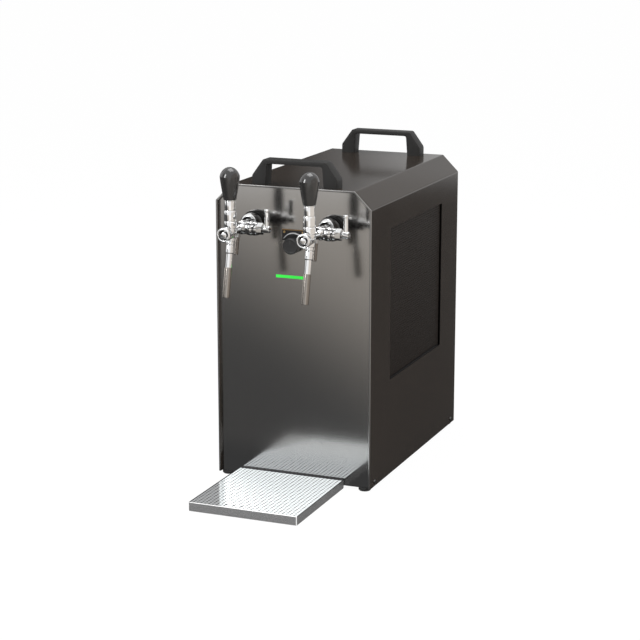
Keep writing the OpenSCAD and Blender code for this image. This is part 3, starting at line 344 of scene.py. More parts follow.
def in_opening(face):
    """True for a flat quad of a side wall between the opening's lines."""
    if len(face) != 4:
        return False
    spot = points[face]
    mid_y, mid_z = spot[:, 1].mean(), spot[:, 2].mean()
    flat = np.ptp(spot[:, 0]) < 0.01
    return flat and screen_y[0] < mid_y < screen_y[1] and screen_z[0] < mid_z < screen_z[1]


parts = [(points, [face for face in faces if not in_opening(face)])]
for side in (-1, 1):
    ring = np.array([(screen_y[0], screen_z[0]), (screen_y[1], screen_z[0]),
                     (screen_y[1], screen_z[1]), (screen_y[0], screen_z[1])])
    rows = [np.column_stack([np.full(4, side * x), ring]) for x in (cover_w, cover_w - sheet)]
    parts.append(patch(np.array(rows)))


def section(inset, y):
    """The cover's six corners, moved inwards, at a depth y. A shoulder shrinks by
    2 - sqrt 2 of the inset."""
    w, h, k = cover_w - inset, cover_top - inset, shoulder - inset * (2 - math.sqrt(2))
    return [(x, y, z) for x, z in both_sides([(-w, cover_low), (-w, h - k), (k - w, h)])]


(near_in, far_in), (front, back) = flange_edges, flange_faces
flange = np.array([section(near_in, front), section(far_in, front), section(far_in, back),
                   section(near_in, back)])
parts.append(patch(flange.transpose(1, 0, 2), caps=True))
cover = skin("cover_shell", "cabinet", ["cover"], parts, crease=30)
powder_coat("cover_powder_coat", (0.033, 0.025, 0.0195), 0.13, 0.30).on(cover)
rim_steel = brushed_steel("rim_bright_edge", (0.33, 0.325, 0.32), 0.28, (900, 900, 14))
# Painted shade: the cut edges round the side openings get a black finish that stands in for the
# shade in the gap.
cut_edge_shade = powder_coat("opening_edge_painted_shade", (0.004, 0.004, 0.004), 0.8, 0.05)
middles = per_face(cover, "center", 1000, (0, front_edge, 0))
facing = per_face(cover, "normal")
across = np.abs(middles[:, 0])
# The rim's rounded corner is bright too, but not where it turns to the left wall.
least_forward = np.where(middles[:, 0] < -140, 0.95, 0.35)
on_rim = (middles[:, 1] < 0.9) & (-facing[:, 1] > least_forward)
on_cut = (np.abs(across - cover_w + sheet / 2) < 0.1) & (np.abs(facing[:, 0]) < 0.1)
rim_steel.on_faces(cover, on_rim)
cut_edge_shade.on_faces(cover, on_cut & (middles[:, 2] > 100))

# Front panel: a plain sheet of dark brushed steel behind the rim. The shanks of the taps
# and the thermostat's bush pass through it. Near its foot it is smoother, and its colour
# is painted an even grey, a painted reflection of the bright tray.
panel_steel = brushed_steel("front_panel_steel", (0.447, 0.44, 0.432), 0.145, (1400, 1400, 9),
                            streak=0.05, depth=0.0000015)
_, _, up = panel_steel.axes()
panel_steel.feed("Roughness", panel_steel.fed("Roughness") * (0.40 + 0.60 * up.step(18, 75)))
# Painted reflection: towards the foot the colour is painted an even grey.
panel_steel.paint(up.step(85, 30), (0.37, 0.37, 0.372))
panel_steel.on("front_panel")

# Rear panel: a painted steel sheet, screwed to the cover's inner flange. Rows of punched
# slots let the warm air out.
powder_coat("rear_panel_coat", (0.035, 0.03, 0.027), 0.45).on("rear_panel")

# Base pan: folded and painted steel that carries the compressor. The cover is screwed to
# its upturned edges.
powder_coat("base_pan_coat", (0.04, 0.038, 0.036), 0.5).on("base_pan")


# Feet and compressor mounts: black rubber, the feet pressed through the pan as discs and
# the mounts set under the compressor's legs.
def rubber(name, colour=(0.02, 0.02, 0.02), rough=0.75):
    """Matt black with a dusty bloom and a fine tooth."""
    made = Finish(name, colour, Roughness=rough, Specular_IOR_Level=0.3)
    bloom = made.noise(60, 3)
    made.feed("Base Color", made.mix(bloom, colour, tint(colour, 1.6)))
    made.feed("Roughness", rough + 0.12 * bloom)
    made.bump(made.noise(1800, 2), 0.00004)
    return made


rubber("feet_rubber").on("feet")
rubber("mounts_rubber", (0.025, 0.025, 0.027)).on("compressor_mounts")

# Side screens: a punched sheet set back in each opening, with a raised edge behind the
# cover's wall. Its holes stand in staggered rows, and a black sheet behind it stands in
# for the shade inside the cabinet.
# Along the opening's far and lower edges the sheet is painted black, a painted shade in
# the gap.
screen_lap, screen_face, screen_back = 10.0, 3.0, 4.0
screen_count, screen_step, screen_hole = (54, 62), (5.0, 4.33), 1.25
shade_sheet_inset, shade_sheet_faces = 2.0, (4.05, 4.4)
punched = powder_coat("screen_coat", (0.0215, 0.0165, 0.0135), 0.5, 0.14)
_, along, up = punched.axes()
far, low = screen_y[1] - along, up - screen_z[0]
# Painted shade: the sheet is painted black, and made metallic so that it shows no gloss, along the
# opening's far and lower edges.
gap_shade = far.step(3.9, 3.3).most(low.step(3.2, 2.6))
punched.paint(gap_shade, (0.003, 0.0025, 0.0025))
punched.feed("Metallic", gap_shade)
# Painted shade: a black sheet behind the holes stands in for the shaded inside.
shade_sheet = Finish("black_shade_sheet", (0.004, 0.004, 0.004), Roughness=0.95, Specular_IOR_Level=0.05)
shade_sheet_mottle = shade_sheet.noise(900, 3)
shade_sheet.feed("Base Color", shade_sheet.mix(shade_sheet_mottle, (0.0025, 0.0025, 0.0025), (0.006, 0.0055, 0.005)))
shade_sheet.bump(shade_sheet_mottle, 0.0001)


def border(u0, u1, v0, v1, height, count, split):
    """A level rectangle with count times split even steps on its sides."""
    tu, tv = (np.linspace(0, 1, n * split, endpoint=False) for n in count)
    ring = np.concatenate([np.column_stack([u0 + (u1 - u0) * tu, 0 * tu + v0]),
                           np.column_stack([0 * tv + u1, v0 + (v1 - v0) * tv]),
                           np.column_stack([u1 + (u0 - u1) * tu, 0 * tu + v1]),
                           np.column_stack([0 * tv + u0, v1 + (v0 - v1) * tv])])
    return np.column_stack([ring, np.full(len(ring), height)])


def field_box(middle, count, step):
    """The sides of a field of count by count cells about its middle."""
    (u, v), (half_u, half_v) = middle, (count[0] * step[0] / 2, count[1] * step[1] / 2)
    return u - half_u, u + half_u, v - half_v, v + half_v


def punched_field(middle, count, step, radius, split, face, back, staggered=False):
    """Cells of a punched sheet. Each is a rectangle with split points on a side, joined to
    as many points on the hole's circle, with an upper face, the hole's wall and a lower
    face. A staggered field moves every second row by half a step and closes its ends."""
    middle, step = np.array(middle), np.array(step)
    ci, cj = np.meshgrid(np.arange(count[0]), np.arange(count[1]), indexing="ij")
    spots = np.stack([ci, cj], -1).reshape(-1, 2) - (np.array(count) - 1) / 2
    ends = []
    if staggered:
        odd = cj.reshape(-1) % 2 == 1
        last = odd & (ci.reshape(-1) == count[0] - 1)
        rows = spots[last][:, 1]
        spots[odd, 0] += 0.5
        spots = spots[~last]
        for u in (-count[0] / 2, count[0] / 2 - 0.5):
            for v in (-0.5, 0):
                ends.append(np.stack([np.column_stack([u + a + 0 * rows, rows + v + b])
                                      for a, b in ((0, 0), (0.5, 0), (0.5, 0.5), (0, 0.5))], 1))
    sides = 4 * split
    angle = np.arange(sides) * 2 * math.pi / sides + math.pi / 4
    circle = np.column_stack([np.cos(angle), np.sin(angle)])
    t = np.arange(split) * 2 / split
    square = np.concatenate([np.column_stack([1 - t, 0 * t + 1]),
                             np.column_stack([0 * t - 1, 1 - t]),
                             np.column_stack([t - 1, 0 * t - 1]),
                             np.column_stack([0 * t + 1, t - 1])])
    radius = np.broadcast_to(radius, len(spots))[:, None, None]
    centres = (middle + spots * step)[:, None]
    flat = np.concatenate([centres + square * step / 2, centres + circle * radius], 1)
    tops = [np.concatenate([flat, np.full((*flat.shape[:2], 1), h)], 2) for h in (face, back)]
    k = np.arange(sides)
    l = (k + 1) % sides
    quads = np.concatenate([np.stack([k + a, l + a, l + b, k + b], 1) for a, b in (
        (0, sides), (sides, 3 * sides), (3 * sides, 2 * sides))])
    quads = quads[None] + 4 * sides * np.arange(len(spots))[:, None, None]
    made = [(np.concatenate(tops, 1).reshape(-1, 3), quads.reshape(-1, 4).tolist())]
    for end in ends:
        for height in (face, back):
            corners = (middle + end * step).reshape(-1, 2)
            made.append((np.column_stack([corners, np.full(len(corners), height)]),
                         np.arange(len(corners)).reshape(-1, 4).tolist()))
    return made


y0, y1 = screen_y[0] - screen_lap, screen_y[1] + screen_lap
z0, z1 = screen_z[0] - screen_lap, screen_z[1] + screen_lap
middle = ((y0 + y1) / 2, (z0 + z1) / 2)
field = field_box(middle, screen_count, screen_step)
cells = punched_field(middle, screen_count, screen_step, screen_hole, 2, screen_face, screen_back,
                      staggered=True)
rows = [border(*field, screen_face, screen_count, 2)]
for inset, depth in ((11.2, screen_face), (10.6, 2.8), (10.3, 2.0), (9.8, 1.5), (0, 1.5),
                     (0, screen_back), (9.0, screen_back)):
    rows.append(border(y0 + inset, y1 - inset, z0 + inset, z1 - inset, depth, screen_count, 2))
rows.append(border(*field, screen_back, screen_count, 2))
backing = [border(y0 + shade_sheet_inset, y1 - shade_sheet_inset, z0 + shade_sheet_inset, z1 - shade_sheet_inset, depth, (1, 1), 1)
           for depth in shade_sheet_faces]
flat_parts = cells + [patch(np.array(rows)), patch(np.array(backing), caps=True)]
pair = ((-1, "left"), (1, "right"))
for side, word in pair:
    screen = skin("side_screen_" + word + "_sheet", "cabinet", ["side_screen_" + word],
                  [(np.column_stack([side * (cover_w - p[:, 2]), p[:, :2]]), f)
                   for p, f in flat_parts])
    punched.on(screen)
    depths = cover_w - np.abs(per_face(screen, "center", 1000)[:, 0])
    shade_sheet.on_faces(screen, depths > screen_back + 0.02)

# Screws: black pan heads in the side walls and the rear flange, and zinc-plated ones that
# hold the handles.
scratches = (700, 700, 700)
brushed_steel("black_screw_oxide", (0.10, 0.10, 0.10), 0.4, scratches, 0.15).on("casing_screws")
brushed_steel("zinc_screw_plate", (0.62, 0.62, 0.60), 0.3, scratches, 0.15).on("handle_screws")

# Carrying handles: moulded black plastic bridges with bevelled shoulders, each held by a
# screw into either leg from under the cover.
half, tall, leg, bar, handle_deep = 79.0, 44.5, 25.0, 8.0, 26.0
slope_w, slope_h = 21.0, 29.0
leg_lean, window_cut = 2.6, (2.0, 2.2)


def moulded(name, colour, rough, grain=700, depth=0.00002, **plain):
    """Moulded plastic: an even tone, a fine spark texture and slow changes of gloss."""
    made = Finish(name, colour, Roughness=rough, **plain)
    cloud = made.noise(14, 3)
    spark = made.noise(grain, 2)
    made.feed("Base Color", made.mix(cloud, tint(colour, 0.9), tint(colour, 1.15)))
    made.feed("Roughness", rough - 0.04 + 0.05 * cloud + 0.04 * spark)
    made.bump(spark, depth)
    return made


handle_plastic = moulded("handle_black_plastic", (0.030, 0.0295, 0.029), 0.42, 600, 0.00003,
                         Specular_IOR_Level=0.12)
outside = both_sides([(-half, 0), (-half, tall - slope_h), (slope_w - half, tall)])
foot, top = leg - half, tall - bar
window = both_sides([(foot, 0), (foot + leg_lean, top - window_cut[1]),
                     (foot + leg_lean + window_cut[0], top)])
arch_out, arch_in = rounded(outside, 3.0, 5), rounded(window, 3.0, 5)


def around(arch_a, arch_b, depth, soft=1.3):
    """A bar swept between two arches: across from one to the other, front to back, with
    its four long edges rounded by short arcs."""
    edge = []
    for s, t in ((0, 0), (0, 1), (1, 1), (1, 0)):
        a = np.linspace(0, math.pi / 2, 4)
        arc = np.column_stack([1 - np.cos(a), 1 - np.sin(a)])
        arc = arc[:, ::-1] if s == t else arc
        across = np.where(s == 0, arc[:, 0], -arc[:, 0])
        deep = np.where(t == 0, arc[:, 1], -arc[:, 1])
        edge.append(np.column_stack([np.full(4, s), np.full(4, t), across, deep]))
    edge = np.concatenate(edge)
    width = np.linalg.norm(arch_b - arch_a, axis=1)[:, None]
    share = edge[None, :, 0] + soft * edge[None, :, 2] / width
    flat = arch_a[:, None] + (arch_b - arch_a)[:, None] * share[..., None]
    y = edge[None, :, 1] * depth + soft * edge[None, :, 3] + 0 * share
    return np.stack([flat[..., 0], y, flat[..., 1]], -1)


for word, where in (("front", 8.0), ("rear", 430.0)):
    bow = around(arch_out, arch_in, handle_deep) + (0, where, cover_top)
    handle = skin("moulded_handle_" + word, "cabinet", ["carry_handle_" + word],
                  [patch(bow, caps=True)], crease=40)
    handle_plastic.on(handle)

# Drip tray: bright stainless sheet with folded walls and a rolled edge, standing on the
# counter. A flat tongue slides under the cabinet to hold it in place. Its inside is
# painted nearly black as painted shade, and its front edge and right front corner glow
# as a painted highlight.
tx0, tx1, ty0, ty1, tray_corner = -105.0, 94.0, -206.0, 6.7, 2.2
tongue_x, tongue_y, tongue_z = (-60.5, 49.5), (6.0, 46.7), (0.8, 2.0)
tray_wall = [(1.6, 0.0), (1.0, 0.0), (0.3, 0.3), (0.0, 1.0), (0.0, 1.5), (0.0, 14.8),
             (0.0, 15.3), (0.15, 15.8), (0.6, 16.0), (1.05, 15.8), (1.2, 15.3), (1.2, 14.8),
             (1.2, 2.5), (1.2, 2.0), (1.5, 1.4), (2.2, 1.2)]


def round_ring(x0, x1, y0, y1, z, inset, corner, steps=5):
    """A level rectangle, moved inwards, with a quarter circle at each corner and a point on
    the side 0.6 mm before and after it."""
    r = max(corner - inset, 0.2)
    x0, x1, y0, y1 = x0 + inset + r, x1 - inset - r, y0 + inset + r, y1 - inset - r
    made = []
    for x, y, start in ((x1, y1, 0), (x0, y1, 90), (x0, y0, 180), (x1, y0, 270)):
        a = np.radians(np.linspace(start, start + 90, steps))
        arc = np.column_stack([x + r * np.cos(a), y + r * np.sin(a)])
        way = 0.6 * np.column_stack([-np.sin(a[[0, -1]]), np.cos(a[[0, -1]])])
        made += [arc[:1] - way[:1], arc, arc[-1:] + way[1:]]
    ring = np.concatenate(made)
    return np.column_stack([ring, np.full(len(ring), z)])


def bar_along_y(x, y, z):
    """A plain box as two rings of four corners, from pairs of its sides."""
    ring = ((x[0], z[0]), (x[1], z[0]), (x[1], z[1]), (x[0], z[1]))
    return patch(np.array([[(u, v, w) for u, w in ring] for v in y]), caps=True)


rows = np.array([round_ring(tx0, tx1, ty0, ty1, z, inset, tray_corner) for inset, z in tray_wall])
tray = skin("drip_tray_pan", "tray", ["drip_tray"],
            [patch(rows, caps=True), bar_along_y(tongue_x, tongue_y, tongue_z)],
            crease=40)
tray_steel = brushed_steel("tray_bright_steel", (0.80, 0.80, 0.805), 0.26, (12, 500, 500),
                           streak=0.015, depth=0.000001, Metallic=0.85, Emission_Strength=1.0)
x, y, z = tray_steel.axes()
left, right, front, back = x - tx0, tx1 - x, y - ty0, ty1 - y
# Painted shade: the floor inside, the back edge and the inner rim are painted nearly black.
inside = left.step(0.9, 1.1) * right.step(0.9, 1.1) * front.step(0.9, 1.1) * z.step(14.5, 12.5)
inner_edge = left.step(1.4, 1.0).most(right.step(1.5, 1.1) * front.step(1.5, 2.0))
dark = inside.most(back.step(1.6, 1.4)).most(inner_edge * z.step(14.8, 15.3))
tray_steel.paint(dark, (0.05, 0.05, 0.052))
# Painted highlight: the right front corner and the top of the front edge glow white.
corner = right.step(1.8, 1.2) * front.step(1.3, 0.7)
painted_highlight = corner.most(front.step(1.1, 0.9) * z.step(15.2, 15.6))
tray_steel.feed("Emission Color", tray_steel.mix(painted_highlight, (0, 0, 0), (0.8, 0.8, 0.8)))
tray_steel.on(tray)

# Drip grille: a perforated stainless sheet with turned-down edges, laid in the tray. Its
# holes are punched in straight rows, and three wider ones take a fingertip. Its corner at
# the front left is painted darker as a painted reflection, left of a slanting line from
# the cabinet's corner. The holes' walls, the strip under the cabinet and the left edge are
# painted nearly black as painted shade, and the grille glows faintly in its own colour as
# painted light.
gx0, gx1, gy0, gy1, g_top, g_low, g_thick = -103.3, 92.3, -204.3, 5.0, 15.6, 1.2, 1.0
hole_n, hole_step, hole_r, finger_r = (27, 29), (7.1, 7.1), 1.85, 2.7
painted_reflection_line = (0.9025, 0.4307)
middle = ((gx0 + gx1) / 2, (gy0 + gy1) / 2)
ci, cj = np.meshgrid(np.arange(hole_n[0]), np.arange(hole_n[1]), indexing="ij")
wide = ((np.abs(ci - 10) <= 2) & (ci % 2 == 0) & (cj == 1)).reshape(-1)
under = g_top - g_thick
cells = punched_field(middle, hole_n, hole_step, np.where(wide, finger_r, hole_r), 3, g_top, under)
field = field_box(middle, hole_n, hole_step)
rows = [border(*field, g_top, hole_n, 3)]
for inset, z in ((0.8, g_top), (0.25, g_top - 0.25), (0, g_top - 0.8), (0, g_low),
                 (g_thick, g_low), (g_thick, under)):
    rows.append(border(gx0 + inset, gx1 - inset, gy0 + inset, gy1 - inset, z, hole_n, 3))
rows.append(border(*field, under, hole_n, 3))
grille = skin("drip_grille_sheet", "grille", ["drip_grille", "grille_rails"],
              cells + [patch(np.array(rows))], crease=40)
grille_steel = brushed_steel("grille_steel", (0.92, 0.97, 1.0), 0.17, (10, 700, 700),
                             streak=0.03, Metallic=0.45, Emission_Strength=0.37)
x, y, z = grille_steel.axes()
left, right = x - gx0, gx1 - x
# Painted reflection: left of this line the grille is painted a darker grey.
painted_reflection_edge = (x + cover_w) * painted_reflection_line[0] + y * painted_reflection_line[1]
grille_steel.paint(painted_reflection_edge.step(1.6, -1.6), (0.45, 0.458, 0.465))
# Painted shade: the holes' walls, the strip under the cabinet and the left edge are painted nearly
# black.
cut = z.step(g_top - 0.04, g_top - 0.12) * left.step(2.1, 2.3) * right.step(2.1, 2.3)
dark = cut.most(y.step(-0.5, -0.1)).most(left.step(0.8, 0.6))
grille_steel.paint(dark, (0.03, 0.03, 0.032))
# Painted light: the grille glows in its own base colour.
grille_steel.feed("Emission Color", grille_steel.fed("Base Color"))
grille_steel.on(grille)

# Tap bodies: chromed brass, turned and polished. Each has a flange against the rosette, a
# swelling body, a slim neck to the lever's seat, and a cross housing for the compensator.
tap_x, tap_z = 72.0, 462.5
housing_y, lever_y, spout_y, spout_drop = -46.0, -97.0, -95.0, 8.0
flange_y, collar_y, housing_from = 15.5, 20.5, 34.0
neck_from, seat_from, button_from = 61.0, 86.5, 110.5
spout_lean = math.radians(12.5)
down = np.array([0, -math.sin(spout_lean), -math.cos(spout_lean)])


def chrome(name, shade=None, rough=0.045):
    """Polished plate with faint finger marks and a slow ripple from the buffing wheel. Its
    base colour is painted dark where the shade, a function of the three axes, is 1, as
    painted reflections and painted shade."""
    made = Finish(name, (0.86, 0.865, 0.87), Roughness=rough, Metallic=1.0)
    smear = made.noise(45, 3)
    made.feed("Roughness", rough + 0.05 * smear.step(0.5, 0.9))
    made.feed("Base Color", made.mix(smear, (0.87, 0.875, 0.88), (0.83, 0.835, 0.84)))
    if shade:
        made.paint(shade(made, *made.axes()), (0.035, 0.034, 0.033))
    made.bump(made.noise(55, 1), 0.00006)
    return made


def from_axis(x, z):
    """Distances to the right of and above the axis of the nearer tap."""
    on_right = x.step(-1, 1)
    return x - (on_right * 2 * tap_x - tap_x), z - tap_z


def radius(across, high):
    """The distance from a centre, from its two parts."""
    return (across * across + high * high).root()


def beyond(y, distance, soft=0.1):
    """0 up to a distance in front of the rim, and 1 further forward."""
    return y.step(soft - distance, -soft - distance)


def casting_shade(made, x, y, z):
    """Painted reflections and shade, from the rosette forwards: painted dark behind the
    flange, a bright painted arch on its face, a painted dark collar, dark and bright painted
    bands along the housing, the neck's lower side painted dark, and painted dark round the button."""
    across, high = from_axis(x, z)
    arch = made.bands(radius(across + 3.8, high - 2.4), (0, 0.1), (6.0, 0.1), (7.0, 1), (11.0, 1),
                      (11.8, 0), (16.6, 0), (17.4, 1), (30.0, 1))
    arch = arch.turn(0, high.step(-17.8, -18.4))
    wavy = high + made.noise(90, 1) * 1.6 - 0.8
    housing = made.bands(wavy, (-12.0, 0.85), (-9.2, 0.85), (-8.0, 0.55), (-7.0, 0.55),
                         (-6.2, 0.80), (-5.2, 0.80), (-4.2, 0.50), (-2.4, 0.45), (-1.4, 0.05),
                         (0.4, 0), (1.2, 0.7), (2.2, 0.7), (3.2, 0.05), (6.6, 0), (7.4, 0.94),
                         (8.6, 0.94), (9.6, 0.25), (12.0, 0.25))
    housing = housing.turn(0.97, y.step(-41.5, -39.5))
    neck = made.bands(high, (-20.0, 0.6), (-6.5, 0.6), (-5.5, 1), (-2.2, 1), (-1.2, 0), (5.0, 0))
    dark = arch.turn(0.9, y.step(-flange_y - 0.1, 0.1 - flange_y)).turn(0.95, beyond(y, collar_y))
    dark = dark.turn(housing, beyond(y, housing_from)).turn(neck, beyond(y, neck_from))
    dark = dark.turn(0, beyond(y, seat_from, 0.2))
    return dark.turn(radius(across, high).step(6.8, 7.1), beyond(y, button_from))


def turned(profile, origin, along, rib=None, parts=48, hollow=False):
    """A lathed surface: each profile point is a distance along the axis and a radius, and
    the radius may swell with the angle by a rib function. A hollow profile closes on
    itself and needs no caps."""
    profile = np.array(profile, float)
    z = np.array(along, float) / np.linalg.norm(along)
    x = np.cross([0, 1, 0] if abs(z[1]) < 0.9 else [1, 0, 0], z)
    x /= np.linalg.norm(x)
    y = np.cross(z, x)
    a = np.arange(parts) * 2 * math.pi / parts
    r = profile[:, 1, None] + 0 * a
    if rib is not None:
        r = r + rib(profile[:, :1], a[None])
    grid = (np.array(origin, float) + profile[:, None, :1] * z + (r * np.cos(a))[..., None] * x
            + (r * np.sin(a))[..., None] * y)
    return patch(grid, caps=bool(profile[0, 1] > 0.01) and not hollow)


forward, right_way, upright = (0, -1, 0), (1, 0, 0), (0, 0, 1)
trunk = rounded([(4, 0.0), (4, 19.5), (15.6, 19.5), (19.7, 15.4), (19.9, 14.4), (17.8, 13.0),
                 (19.5, 11.9), (32, 11.2), (46, 11.8), (52, 11.0), (56, 8.6), (62, 5.2),
                 (68, 4.3), (80, 4.2), (90, 4.4), (90, 0.0)], 1.6, 3)
quarter = np.radians(np.linspace(0, 90, 10))
seat = np.concatenate([np.column_stack([97 - 11 * np.cos(quarter), 11 * np.sin(quarter)]),
                       [(113.6, 11), (114.8, 10.4), (115, 7.8), (115, 0.0)]])
button = rounded([(114, 0.0), (114, 7.8), (118.5, 7.8), (118.5, 5.5), (124.2, 5.5),
                  (124.9, 4.6), (125.1, 0.0)], 0.5, 2)
cross = rounded([(-14, 0.0), (-14, 4.5), (-11, 7.6), (-8, 9.8), (-4, 10.8), (3, 11.1), (9, 10.2),
                 (13, 10.5), (14.4, 12.3), (17.8, 12.3), (19.2, 10.4), (23, 10.9), (27.2, 10.7),
                 (28.3, 9.6), (28.3, 0.0)], 1.2, 3)
boss = rounded([(-4, 0.0), (-4, 8.2), (6.2, 8.4), (7, 7.7), (7, 0.0)], 0.6, 2)
shank = [(-45.5, 0.0), (-45.5, 11.0), (-4, 11.0), (-4, 0.0)]
tail = [(-61.5, 0.0), (-61.5, 4.8), (-45, 4.8), (-45, 0.0)]
vent_boss = [(-9, 0.0), (-9, 5.2), (0, 5.2), (0, 0.0)]
# Painted reflections: dark and bright bands are painted into the body's chrome.
body_chrome = chrome("body_polished_chrome", casting_shade)
for side, word in pair:
    at = np.array([side * tap_x, 0, tap_z])
    seat_skin = turned(seat, at, forward, parts=64)
    # The seat is open above the lever's ball.
    seat_skin[0][:, 2] = np.minimum(seat_skin[0][:, 2], tap_z + 1.4)
    body = skin("tap_casting_" + word, "cabinet", ["tap_body_" + word],
                [turned(trunk, at, forward, parts=64), seat_skin, turned(button, at, forward),
                 turned(cross, at + (0, housing_y, 0), right_way),
                 turned(boss, at + (0, spout_y, -spout_drop), down), turned(shank, at, forward),
                 turned(tail, at, forward),
                 turned(vent_boss, at + (0, -69.5, -13), down, parts=32)],
                crease=38)
    body_chrome.on(body)

# Rosettes: glossy black plastic domes, moulded, that cover the holes in the panel and are
# held by the taps' flanges.
dome = rounded([(-7, 11.2), (-7, 22.4), (-1.5, 22.4), (1.5, 21.8), (3.4, 20.2), (4, 17),
                (4, 11.2), (-7, 11.2)], 1.2, 4)
rosettes = skin("tap_rosette_domes", "cabinet", ["tap_rosettes"],
                [turned(dome, (side * tap_x, 0, tap_z), forward, parts=72, hollow=True)
                 for side, _ in pair], crease=50)
moulded("rosette_black_gloss", (0.005, 0.005, 0.005), 0.2, 500, 0.00001,
        Specular_IOR_Level=0.12).on(rosettes)


# Ring nuts: chromed rings that hold the lever's ball, with a button in the middle. Gland
# nuts and vent tubes: on the housing's end and under the body.
def ring_shade(made, x, y, z):
    """Painted shade inside the ring."""
    return radius(*from_axis(x, z)).step(8.4, 8.2)


def nut_shade(made, x, y, z):
    """Painted dark on the lower half, a painted reflection."""
    _, high = from_axis(x, z)
    return made.bands(high, (-12.0, 0.85), (-5.0, 0.7), (-4.0, 0.2), (1.0, 0.05), (12.0, 0))


hoop = rounded([(115, 8.0), (115, 12.3), (124.8, 12.3), (126.5, 10.6), (126.4, 9.2),
                (124, 8.3), (118.5, 8.2), (118.5, 8.0), (115, 8.0)], 0.8, 4)
face_rings = skin("tap_ring_nuts", "cabinet", ["face_rings"],
                  [turned(hoop, (side * tap_x, 0, tap_z), forward, parts=72, hollow=True)
                   for side, _ in pair], crease=50)
tube_grain = (900, 900, 30)
chrome("ring_polished_chrome", ring_shade).on(face_rings)
chrome("nut_polished_chrome", nut_shade).on("gland_nuts")
brushed_steel("vent_tube_steel", (0.17, 0.153, 0.138), 0.2, tube_grain, 0.1).on("vent_tubes")

# Brass: the shank nuts behind the panel, the scale plate's screws and the air outlet. It
# is turned, and a little dulled.
brass = Finish("fitting_brass", (0.72, 0.52, 0.24), Roughness=0.3, Metallic=1.0)
tarnish = brass.noise(70, 3)
brass.feed("Base Color", brass.mix(tarnish, (0.76, 0.56, 0.27), (0.55, 0.38, 0.18)))
brass.feed("Roughness", 0.24 + 0.16 * tarnish)
brass.on("shank_nuts", "plate_screws", "air_outlet")


# Tap levers: a ball, a sleeve with a waist and a ferrule, turned in one and chromed. They
# tip forward to pour. Knobs: black moulded plastic screwed on the stud, polished, with a
# crisp line where the domed head starts.
def behind(rear, lean=0.0, height=0.0):
    """A shade painted dark behind the plane y = rear + lean * (z - height), a painted reflection.
    """
    return lambda made, x, y, z: (y - (z - height) * lean).step(rear, rear + 4.5)


ball_r, ball_up, grip_low, flare_h, grip_h = 9.4, 4.0, 52.0, 39.6, 55.0
grip_r, foot_r, edge_angle = 16.95, 10.75, math.radians(14)
angle = np.radians(np.linspace(-90, 26, 20))
ball = ball_r * np.column_stack([np.sin(angle), np.cos(angle)])
ball[0, 1] = 0.0
sleeve = rounded([(4.1, 8.4), (4.1, 10.2), (4.8, 10.5), (14.9, 10.5), (15.5, 9.8), (16.5, 9.8),
                  (17.1, 10.5), (31.8, 10.5), (33.6, 9.3), (34.4, 9.0), (35.2, 9.2),
                  (49.4, 9.2), (50, 8.9), (50.6, 9.2), (51.6, 9.2), (52, 8.9), (52, 0.0)],
                 0.35, 3)
t = np.linspace(0.03, 1, 14)
flare = np.column_stack([grip_low + flare_h * t, foot_r + 6.2 * (1 - (1 - t) ** 1.25)])
angle = np.linspace(edge_angle, math.pi / 2, 20)
rise = (np.sin(angle) - math.sin(edge_angle)) / (1 - math.sin(edge_angle))
cap = np.column_stack([grip_low + flare_h + (grip_h - flare_h) * rise,
                       grip_r * np.cos(angle) / math.cos(edge_angle)])
cap[-1, 1] = 0
foot = [(52.05, 0.0), (52.05, 10.3), (52.4, foot_r)]
knob_black = moulded("knob_black_gloss", (0.022, 0.0215, 0.021), 0.16, 400, 0.000008,
                     Coat_Weight=0.6, Coat_Roughness=0.06)
# Painted reflection: the lever's chrome is painted dark behind its axis.
lever_chrome = chrome("lever_polished_chrome", behind(lever_y + 2))
for side, word in pair:
    at = (side * tap_x, lever_y, tap_z + ball_up)
    lever = skin("tap_lever_sleeve_" + word, "lever_" + word, ["tap_lever_" + word],
                 [turned(np.concatenate([ball, sleeve]), at, upright, parts=64)],
                 crease=42)
    lever_chrome.on(lever)
    knob = skin("tap_knob_grip_" + word, "lever_" + word, ["tap_knob_" + word],
                [turned(np.concatenate([foot, flare, cap]), at, upright, parts=72)],
                crease=17)
    knob_black.on(knob)

# Spouts and nozzles: a chromed tube that leans forward from its socket, steps down, and
# ends in a satin stainless nozzle pushed over it. The nozzle's colour is painted bright
# along its left and darker across the rest, a painted reflection, and the spout's chrome
# is painted dark on its rear side.
pipe = rounded([(3.1, 0.0), (3.1, 6.7), (12, 6.7), (12.6, 6.2), (13.6, 6.2), (14.2, 6.7),
                (26.6, 6.7), (28.2, 5.5), (65, 5.5), (65, 0.0)], 0.4, 3)
nozzle_top, nozzle_end = 51.6, 102.5
tube = rounded([(nozzle_top, 5.6), (nozzle_top, 6.3), (nozzle_top + 0.5, 6.5),
                (nozzle_end - 0.5, 6.5), (nozzle_end, 6.2), (nozzle_end, 5.2),
                (nozzle_end - 12, 5.0), (nozzle_top, 5.6)], 0.25, 2)
nozzle_steel = brushed_steel("nozzle_satin_steel", (0.30, 0.272, 0.245), 0.22, tube_grain)
across, _ = from_axis(*nozzle_steel.axes()[::2])
# Painted reflection: bright along the nozzle's left edge, darker across the rest.
tone = nozzle_steel.bands(across, (-6.6, 0.9), (-4.6, 0.9), (-3.8, 0.28), (-0.4, 0.19),
                          (1.4, 0.25), (3.0, 0.37), (4.6, 0.27), (6.6, 0.20))
tone = tone * (0.92 + 0.16 * nozzle_steel.noise(1, 4, 0.6, tube_grain))
nozzle_steel.feed("Base Color", nozzle_steel.mix(tone, (0, 0, 0), (1.0, 0.92, 0.84)))
